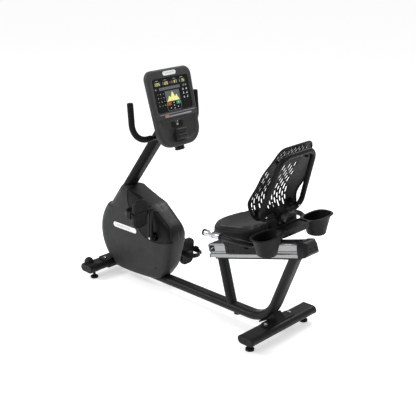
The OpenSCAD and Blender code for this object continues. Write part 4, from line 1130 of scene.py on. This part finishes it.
# the shell's front line, as (height, x), and the discs of its outline in y and z
FRONT = [(663, 541), (690, 524), (722, 510), (752, 506), (790, 513), (828, 532), (864, 556),
         (902, 582), (944, 606), (990, 630), (1040, 652)]
BACK = [(-84, 985, 57), (84, 985, 57), (-142, 770, 46), (142, 770, 46), (-129, 708, 47),
        (129, 708, 47)]
FRONT_Z, FRONT_X = np.array(FRONT, float).T
FRONT_SLOPE = np.gradient(FRONT_X, FRONT_Z)
BAND_Z, SHELL_TOP = 950, 1030


def front_x(z):
    """smooth curve through FRONT, straight below its lowest point"""
    if z <= FRONT_Z[0]:
        return FRONT_X[0] + (z - FRONT_Z[0]) * (FRONT_X[1] - FRONT_X[0]) / (FRONT_Z[1] - FRONT_Z[0])
    i = max(min(int(np.searchsorted(FRONT_Z, z)), len(FRONT_Z) - 1), 1)
    h = FRONT_Z[i] - FRONT_Z[i - 1]
    t = (z - FRONT_Z[i - 1]) / h
    return (2 * t ** 3 - 3 * t ** 2 + 1) * FRONT_X[i - 1] \
        + (t ** 3 - 2 * t ** 2 + t) * h * FRONT_SLOPE[i - 1] \
        + (-2 * t ** 3 + 3 * t ** 2) * FRONT_X[i] + (t ** 3 - t ** 2) * h * FRONT_SLOPE[i]


def shell_point(y, z, out=0.0):
    """point of the shell, whose edges stand out and back beside the loins and the ribs"""
    k = y / 170
    loin, rib = 29 * math.exp(-((z - 825) / 80) ** 2), 24 * math.exp(-((z - 918) / 52) ** 2)
    return front_x(z) + out + 0.945 * loin * k * k, y + k * (loin + rib), z


def shell_slots(pts):
    """slots cut through the shell, and outlines beside the loins on the far side that are left
    uncut and drawn as dark patches of painted shade
    """
    outer = [tuple(p) for p in pts]

    def clear(y, z, h):
        return all(min(np.linalg.norm(pts - np.array([y + dy, z + dz]), axis=1)) >= 12
                   and inside(outer, y + dy, z + dz)
                   for dz in (-h / 2, 0, h / 2) for dy in (-4, 4))
    slots, painted_shade_slots = [], []
    row, z = 0, 706.0
    while z < SHELL_TOP:
        top = z > BAND_Z
        h, pitch, wide = (22, 14.0, 7.4) if top else (30, 19.0, 10.0)
        for c in range(-9, 10):
            y = c * pitch
            zz = z + (h / 2 + 3 if c % 2 else 0)
            edge = 141 + 0.237 * (985 - zz)
            side = max(edge - 76, 104) < abs(y) < 180 and zz < 935
            centre = abs(y) < 100 * (1 - max(0, zz - 760) / 480) and zz < 925
            high = h * (0.82 + 0.3 * ((c * 7 + row * 3) % 5) / 4)
            if (top or side or centre) and clear(y, zz, high):
                # far-side slots beside the loins are not cut; back_shell lays painted shade over
                # their outlines
                kind = painted_shade_slots if side and y > 0 and not centre else slots
                kind.append(stadium(y, zz, wide, high, 4))
        z = 964 if z < BAND_Z < z + h + 9 else z + h + (5 if top else 9)
        row += 1
    return slots, painted_shade_slots


def shell_panel(pts, slots):
    """flat slotted sheet, cut into strips, bent to the shell's form and thickened"""
    fv, ff = flat_fill([[tuple(p) for p in pts]] + slots)
    bm = bmesh.new()
    vs = [bm.verts.new((0, y * MM, z * MM)) for y, z, _ in fv]
    for g in ff:
        bm.faces.new([vs[i] for i in g])
    for axis, places in ((2, np.arange(668, 1044, 9.0)), (1, np.arange(-180, 181, 15.0))):
        for q in places:
            bmesh.ops.bisect_plane(bm, geom=bm.verts[:] + bm.edges[:] + bm.faces[:], dist=1e-7,
                                   plane_co=[q * MM * (k == axis) for k in range(3)],
                                   plane_no=[float(k == axis) for k in range(3)])
    for v in bm.verts:
        y, z = v.co.y / MM, v.co.z / MM
        d = min(np.linalg.norm(pts - np.array([y, z]), axis=1))
        v.co = Vector(shell_point(y, z, 1.0 + 3.5 * math.exp(-d / 7.0))) * MM
    bmesh.ops.recalc_face_normals(bm, faces=bm.faces)
    if sum(f.normal.x for f in bm.faces) > 0:
        bmesh.ops.reverse_faces(bm, faces=bm.faces)
    o = piece("back_shell_panel", [], [], "seat_body", "back_shell", "shell",
              replaces=["back_shell"])
    bm.to_mesh(o.data)
    bm.free()
    o.data.polygons.foreach_set("use_smooth", [True] * len(o.data.polygons))
    s = o.modifiers.new("thickness", "SOLIDIFY")
    s.thickness, s.offset = 3.4 * MM, -1
    bevel(o, 0.6, 50, 1)


def back_shell():
    pts, nrm = hull_outline(BACK, 5, 12)
    slots, painted_shade_slots = shell_slots(pts)
    shell_panel(pts, slots)
    # rolled rim along the edge, dark slot patches of painted shade, four standoffs to the ring and
    # their bolts
    rim = [shell_point(*q, 5.5) for q in pts - nrm * 4.0]
    parts = [(sweep(resample(rim + [rim[0]], 8)[:-1], 4.6, closed=True, seg=14), 0)]
    # dark rubber-coloured patches just off the shell's face: painted shade where the far side's
    # slots stand
    parts += [(loft([[shell_point(y, z, out) for y, z in lp] for out in (0.5, 1.4)]), 2)
              for lp in painted_shade_slots]
    nx = np.array([math.cos(RING_LEAN), 0, -math.sin(RING_LEAN)])
    for y, w, bolts in ((128, 34, True), (104, 312, False)):
        for s in (-1, 1):
            c = np.array(on_ring(0, s * y, w))
            reach = 14
            while reach < 110:
                q = c - nx * reach
                if q[0] < shell_point(q[1], q[2], 7)[0]:
                    break
                reach += 2
            parts.append((sweep([c - nx * k for k in (13, reach * 0.5, reach)], [7.5, 8, 10.5],
                                seg=20), 0))
            if bolts:
                parts.append((sweep([c + nx * k for k in (12.5, 16.5, 18)], [6, 6, 4.6],
                                    seg=20), 1))
    joined("back_shell_rim", parts, "seat_body", "back_shell", ["shell", "bright", "belt"])


back_shell()


# ------------------------------------------------------------------ cup tray

TRAY_X, TROUGH_X, CUP_Y, TRAY_HALF = 649, 643, 197, 297
TRAY_TOP, TRAY_UNDER, CUP_DEPTH, BRIDGE = 631.2, 626.2, 99, 39


def tray_outline():
    """two rounded cups joined by a narrower bridge, as points with outward normals"""
    half = 120 + (TRAY_HALF - 120) * (1 - np.cos(np.linspace(0, math.pi, 46))) / 2
    left, right = [], []
    for y in np.concatenate([half - TRAY_HALF - 120, np.linspace(-119, 119, 40), half]):
        a = abs(y)
        t = min(1.0, max(0.0, (a - 97) / 200))
        w = 57 * (1 - (2 * abs(t - 0.5)) ** 3.4) ** (1 / 2.4) if 0 < t < 1 else 0
        blend = 1 / (1 + math.exp((a - 112) / 9))
        if a < CUP_Y:
            w = w * (1 - blend) + BRIDGE * blend
        c = TRAY_X - 6 * blend
        left.append((c - w, y))
        right.append((c + w, y))
    pts = np.array(right + left[::-1])
    t = np.roll(pts, -1, 0) - np.roll(pts, 1, 0)
    n = np.stack([t[:, 1], -t[:, 0]], 1)
    return pts, n / np.maximum(np.linalg.norm(n, axis=1), 1e-6)[:, None]


def cup_ring(s, k, inset):
    """ring of a cup's wall, from the rim at k = 0 to the floor at k = 1"""
    hw = (48.5 - inset) * (1 - k) + (48 - inset) * k
    hl = (92 - inset) * (1 - k) ** 1.25 + (49 - inset) * (1 - (1 - k) ** 1.25)
    e = 0.78 + 0.22 * k
    out = []
    for j in range(64):
        ca, sa = math.cos(2 * math.pi * j / 64), math.sin(2 * math.pi * j / 64)
        out.append((TRAY_X - 1.5 * k + hw * math.copysign(abs(ca) ** e, ca),
                    s * CUP_Y + hl * math.copysign(abs(sa) ** e, sa), TRAY_TOP - k * CUP_DEPTH))
    return out


def tray():
    pts, nrm = tray_outline()

    def grown(grow):
        return [tuple(p) for p in pts + nrm * grow]

    def raised(loop, z):
        return [(p[0], p[1], z) for p in loop]

    def trough(*rows):
        """rings of rounded rectangles, given as (width, height, radius, level)"""
        return [raised(soft_rect(TROUGH_X, 0, w, h, r, 5), z) for w, h, r, z in rows]
    lip = [(-7.5, TRAY_UNDER), (-4, 626.0), (-1.2, 626.6), (0, 628.6), (-0.6, 630.8),
           (-2.2, 632), (-4.6, 632), (-6.2, TRAY_TOP)]
    parts = [(loft([raised(grown(g), z) for g, z in lip], False, False), 0)]
    levels = [0.0, 0.03, 0.08, 0.2, 0.4, 0.6, 0.8, 0.93, 0.98, 1.0]
    mouths = []
    for s in (-1, 1):
        inner = [cup_ring(s, k, 1.5 + {0.98: 3, 1.0: 9}.get(k, 0)) for k in levels]
        inner = [[(x, y, z + 3 if z < 560 else z) for x, y, z in r] for r in inner]
        parts.append((flipped(loft(inner, cap_first=False)), 0))
        outer = [cup_ring(s, k, -1.5 + {0.98: 3, 1.0: 8}.get(k, 0)) for k in levels]
        outer = [[(x, y, min(z, 627)) for x, y, z in r] for r in outer]
        parts.append((loft(outer, cap_first=False), 0))
        mouths.append([p[:2] for p in inner[0]])
    well = soft_rect(TROUGH_X, 0, 58, 190, 12, 5)
    fv, ff = flat_fill([grown(-6.2)] + mouths + [well])
    parts.append(((raised(fv, TRAY_TOP), ff), 0))
    fv, ff = flat_fill([grown(-7.5)] + [[p[:2] for p in cup_ring(s, 0.0, -1.5)] for s in (-1, 1)])
    parts.append((flipped((raised(fv, TRAY_UNDER), ff)), 0))
    parts.append((flipped(loft(trough((58, 190, 12, TRAY_TOP), (57.2, 189, 12, 630),
                                      (55, 186, 12, 606), (52, 182, 12, 598),
                                      (44, 172, 9, 595.4)), cap_first=False)), 0))
    parts.append((loft(trough((64, 214, 12, 626.5), (62, 210, 12, 603), (57, 202, 12, 593),
                              (48, 190, 9, 590.2)), cap_first=False), 0))
    # two arms to the backrest bar
    for s in (-1, 1):
        parts.append((loft([[(x, s * 20 + dy, z) for dy, z in soft_rect(0, 609, 12, 25, 4, 4)]
                            for x in (572, 590, 614)]), 1))
    o = tidy(joined("cup_tray_body", parts, "seat_body", "cup_tray", ["tray", "black_paint"],
                    replaces=["cup_tray"]))
    o.modifiers.new("normals", "WEIGHTED_NORMAL").keep_sharp = False


tray()


# ------------------------------------------------------------------ pedals

CRANK, PEDAL_Y, CRANK_TILT, PEDAL_TILT = 170, 190, math.radians(2.7), 4
PLATE = [(-16, 48, 32), (16, 48, 32), (-16, -48, 32), (16, -48, 32)]
STRAP_MID = 7


def pedal_point(side, x, y, z):
    """a foot plate's local point, in the part's frame; side is -1 left and 1 right"""
    t = math.radians(PEDAL_TILT + (180 if side < 0 else 0))
    px = CRANK_X - side * CRANK * math.sin(CRANK_TILT)
    pz = CRANK_Z - side * CRANK * math.cos(CRANK_TILT)
    return (px + x * math.cos(t) + z * math.sin(t), side * (PEDAL_Y + y),
            pz - x * math.sin(t) + z * math.cos(t))


def pedal(side, tag):
    pts, nrm = hull_outline(PLATE, 8, 16)

    def at(x, loop):
        return [pedal_point(side, x, y, z) for y, z in loop]
    edge = [(7.5, -8.6), (6.2, -8.8), (5.4, -11.6), (3.2, -12), (1.0, -10.8), (0, -8)]
    rows = edge + [(inset, -x) for inset, x in edge[::-1]]
    parts = [(loft([at(x, pts - nrm * inset) for inset, x in rows]), 0)]
    # studs in staggered rows on both faces, and a raised bar over the spindle
    for face in (-1, 1):
        for r in range(11):
            for c in range(-3, 4):
                y, z = c * 12.5 + (6.2 if r % 2 else 0), -70 + r * 14
                rim = math.hypot(max(abs(y) - 16, 0), max(abs(z) - 48, 0))
                if abs(y) > 36 or abs(z) < 13 or rim > 23:
                    continue
                stud = [at(face * x, [(y + 1.25 * s * math.cos(q), z + 0.8 * s * math.sin(q))
                                      for q in [2 * math.pi * k / 8 for k in range(8)]])
                        for s, x in ((3.2, 8.4), (3.2, 9.8), (1.92, 10.9))]
                parts.append((loft(stud, cap_first=False), 0))
        bar = [at(face * x, stadium(0, 0, w, h, 6))
               for w, h, x in ((84, 20, 8.4), (84, 20, 11.0), (81, 16, 12.0))]
        parts.append((loft(bar, cap_first=False), 0))
    # boss towards the crank and black end cap on the outside
    for ys, radii, k in (((-62, -60.8, -53, -51), [15, 16.6, 17, 14], 0),
                         ((51, 55.0, 56.0), [9, 9, 7.6], 1)):
        parts.append((sweep([pedal_point(side, 0, y, 0) for y in ys], radii, seg=28,
                            side=(0, 0, 1)), k))
    tidy(joined("pedal_%s_body" % tag, parts, "pedal_%s_body" % tag, "pedal_%s" % tag,
                ["pedal", "black_steel"], replaces=["pedal_%s" % tag]))


def strap(side, tag):
    """band over the foot with cross ribs, a buckle block and a loose tail"""
    def across(y, loop):
        return [pedal_point(side, x, y, z) for x, z in loop]
    path = [(12.6, -44.5), (24, -44.5), (36, -44.4)]
    for k in range(31):
        q = math.radians(-90 + 180 * k / 30)
        path.append((46 + 44.5 * math.cos(q), 44.5 * math.sin(q)))
    path = [np.array(p) for p in path + [(36, 44.4), (24, 44.5), (12.6, 44.5)]]
    n = len(path)
    rings = []
    for i, p in enumerate(path):
        t = unit(path[min(i + 1, n - 1)] - path[max(i - 1, 0)])
        o = np.array([t[1], -t[0]])
        w = 17 - 3.0 * math.sin(math.pi * i / (n - 1)) ** 2
        rings.append([pedal_point(side, *(p + o * s), STRAP_MID + z)
                      for s, z in ((1.2, -w), (2.2, -w + 1.6), (2.2, w - 1.6), (1.2, w), (-1.2, w),
                                   (-2.2, w - 1.6), (-2.2, -w + 1.6), (-1.2, -w))])
    parts = [(loft(rings), 0)]
    corners = ((-1, -1), (1, -1), (1, 1), (-1, 1))
    for i in range(6, n - 6, 2):
        p, t = path[i], unit(path[i + 1] - path[i - 1])
        o = np.array([t[1], -t[0]])
        parts.append((loft([[pedal_point(side, *(p + o * s + t * a * g), STRAP_MID + b * 9.0)
                             for a, b in corners] for s, g in ((1.8, 1.6), (2.6, 1.3))],
                           cap_first=False), 0))
    parts.append((loft([across(y, soft_rect(31, STRAP_MID, w, h, 4, 4))
                        for y, w, h in ((47.4, 27, 37), (49, 30, 40), (54.5, 30, 40),
                                        (56, 27, 37))]), 1))
    for z0 in (-6, 7, 20):
        parts.append((loft([across(y, soft_rect(31, z0, w, 4, 1.6, 3))
                            for y, w in ((55.6, 20), (57.0, 20), (57.4, 18.5))],
                           cap_first=False), 1))
    tail = []
    for k in range(9):
        u = k / 8
        x, y = 41 + 44 * u, 52.5 - 15.0 * u - 1.5 * math.sin(math.pi * u)
        tail.append([pedal_point(side, x, y + 1.7 * a, STRAP_MID + b * (12.5 - 3.5 * u ** 3))
                     for a, b in corners])
    parts.append((loft(tail), 0))
    bevel(tidy(joined("pedal_%s_strap" % tag, parts, "pedal_%s_body" % tag,
                      "pedal_strap_%s" % tag, ["strap", "pedal"],
                      replaces=["pedal_strap_%s" % tag])), 0.5, 40, 1)


for pedal_side, pedal_tag in ((-1, "left"), (1, "right")):
    pedal(pedal_side, pedal_tag)
    strap(pedal_side, pedal_tag)


# ------------------------------------------------------------------ small details

def head(c, side, r, h, socket=0.5):
    """round bolt head with a socket, facing out to its side"""
    c, a = np.array(c, float), np.array([0, side, 0], float)
    return sweep([c, c + a * h * 0.6, c + a * h, c + a * h, c + a * h * 0.35],
                 [r, r, r * 0.8, r * socket, r * socket * 0.9], seg=20, side=(0.3, 0.1, 0.9))


def bolt_heads():
    """screws and knob lobes on the carriage, and bolt heads on the crank"""
    parts = []
    for s in (-1, 1):
        parts += [(head((x, s * 58.5, z), s, 5.2, 1.2), 0) for x, z in ((280, 406), (313, 416))]
        for dx, r in ((-7, 6.5), (7, 6.5), (0, 5.0)):
            y = -59 if s < 0 else 67.8
            parts.append((head((398 + dx, y, 455), s, r, 5.0 + abs(dx) * 0.1), 0))
    tidy(joined("carriage_fixings", parts, "seat_body", "carriage", "black_steel"))
    parts = [(head((CRANK_X, s * 116.8, CRANK_Z), s, 7.0, 2.2), 0) for s in (-1, 1)]
    tidy(joined("crank_bolt_heads", parts, "crank", "crank_bolts", "bright"))


RAIL_X, RAIL_Z, PAINTED_REFLECTION_TILT = 143, 326, math.radians(24)


def rail_painted_shade_and_reflection():
    """dark patch of painted shade with a slanted bright strip of painted reflection on each side of
    the rail's front end
    """
    def on_rail(along, y, up):
        return (RAIL_X + along * math.cos(SLOPE) - up * math.sin(SLOPE), y,
                RAIL_Z + along * math.sin(SLOPE) + up * math.cos(SLOPE))
    parts = []
    for s in (-1, 1):
        # dark rubber-coloured patch on the rail's side: painted shade
        parts.append((loft([[on_rail(a, s * y, b)
                             for a, b in soft_rect(20.5, 51, 35 - k, 32 - k, 4, 4)]
                            for y, k in ((45.2, 0), (46.3, 0), (46.6, 0.8))]), 0))
        # slanted strip in the rail's own metal, set proud over the dark patch: a painted reflection
        parts.append((loft([[on_rail(20 + a * math.cos(PAINTED_REFLECTION_TILT) - b * math.sin(PAINTED_REFLECTION_TILT), s * y,
                                     51 + a * math.sin(PAINTED_REFLECTION_TILT) + b * math.cos(PAINTED_REFLECTION_TILT))
                             for a, b in stadium(0, 0, 27 - k, 5.5 - k, 5)]
                            for y, k in ((46, 0), (47.2, 0), (47.7, 1))]), 1))
    tidy(joined("rail_end_painted_shade_and_reflection", parts, "base", "seat_rail", ["belt", "alu"]))


bolt_heads()
rail_painted_shade_and_reflection()


# ------------------------------------------------------------------ stage, light, camera

def stage():
    half = 60
    me = bpy.data.meshes.new("floor")
    me.from_pydata([(-half, -half, 0), (half, -half, 0), (half, half, 0), (-half, half, 0)], [],
                   [(0, 1, 2, 3)])
    m, nt, b = new_material("floor_paint", (0.9, 0.9, 0.9), 0.8)
    v = coords(nt)
    tint(nt, b, noise(nt, v, 3, 3), (0.9, 0.9, 0.9), 0.995, 1.005)
    b.inputs["Emission Color"].default_value = (1, 1, 1, 1)
    b.inputs["Emission Strength"].default_value = 0.5
    me.materials.append(m)
    o = bpy.data.objects.new("floor", me)
    o.location = (0, 0, -0.0005)
    bpy.context.scene.collection.objects.link(o)
    w = bpy.data.worlds.new("studio")
    w.use_nodes = True
    bg = w.node_tree.nodes["Background"]
    bg.inputs["Color"].default_value = (1, 1, 1, 1)
    bg.inputs["Strength"].default_value = 0.52
    bpy.context.scene.world = w

    def area(name, loc, aim, size, power):
        d = bpy.data.lights.new(name, "AREA")
        d.shape, d.size, d.energy = "DISK", size, power
        lo = bpy.data.objects.new(name, d)
        lo.location = loc
        lo.rotation_mode = "QUATERNION"
        lo.rotation_quaternion = (Vector(aim) - Vector(loc)).to_track_quat("-Z", "Y")
        bpy.context.scene.collection.objects.link(lo)
    area("key", (-2.8, -3.2, 3.4), (0, 0, 0.5), 2.0, 110)
    area("top", (0.6, 0.4, 4.6), (0, 0, 0.5), 1.6, 55)
    area("rim", (-0.2, 2.6, 3.3), (0, 0, 0.6), 1.6, 55)


CAM_PLACE, CAM_AZIMUTH, CAM_ELEVATION, CAM_LENS = (3.025, -3.120, 2.104), 43.4, 19.55, 73.56


def camera():
    a, e = math.radians(CAM_AZIMUTH), math.radians(CAM_ELEVATION)
    f = Vector((-math.sin(a) * math.cos(e), math.cos(a) * math.cos(e), -math.sin(e)))
    r = Vector((math.cos(a), math.sin(a), 0))
    u = r.cross(f)
    cam = bpy.data.cameras.new("camera")
    cam.sensor_width, cam.lens = 36, CAM_LENS
    cam.clip_start, cam.clip_end = 0.05, 100
    o = bpy.data.objects.new("camera", cam)
    rows = [(r[k], u[k], -f[k], CAM_PLACE[k]) for k in range(3)]
    o.matrix_world = Matrix((*rows, (0, 0, 0, 1)))
    bpy.context.scene.collection.objects.link(o)
    bpy.context.scene.camera = o


stage()
camera()
bpy.context.scene.view_settings.view_transform = "Standard"

bpy.context.view_layer.update()
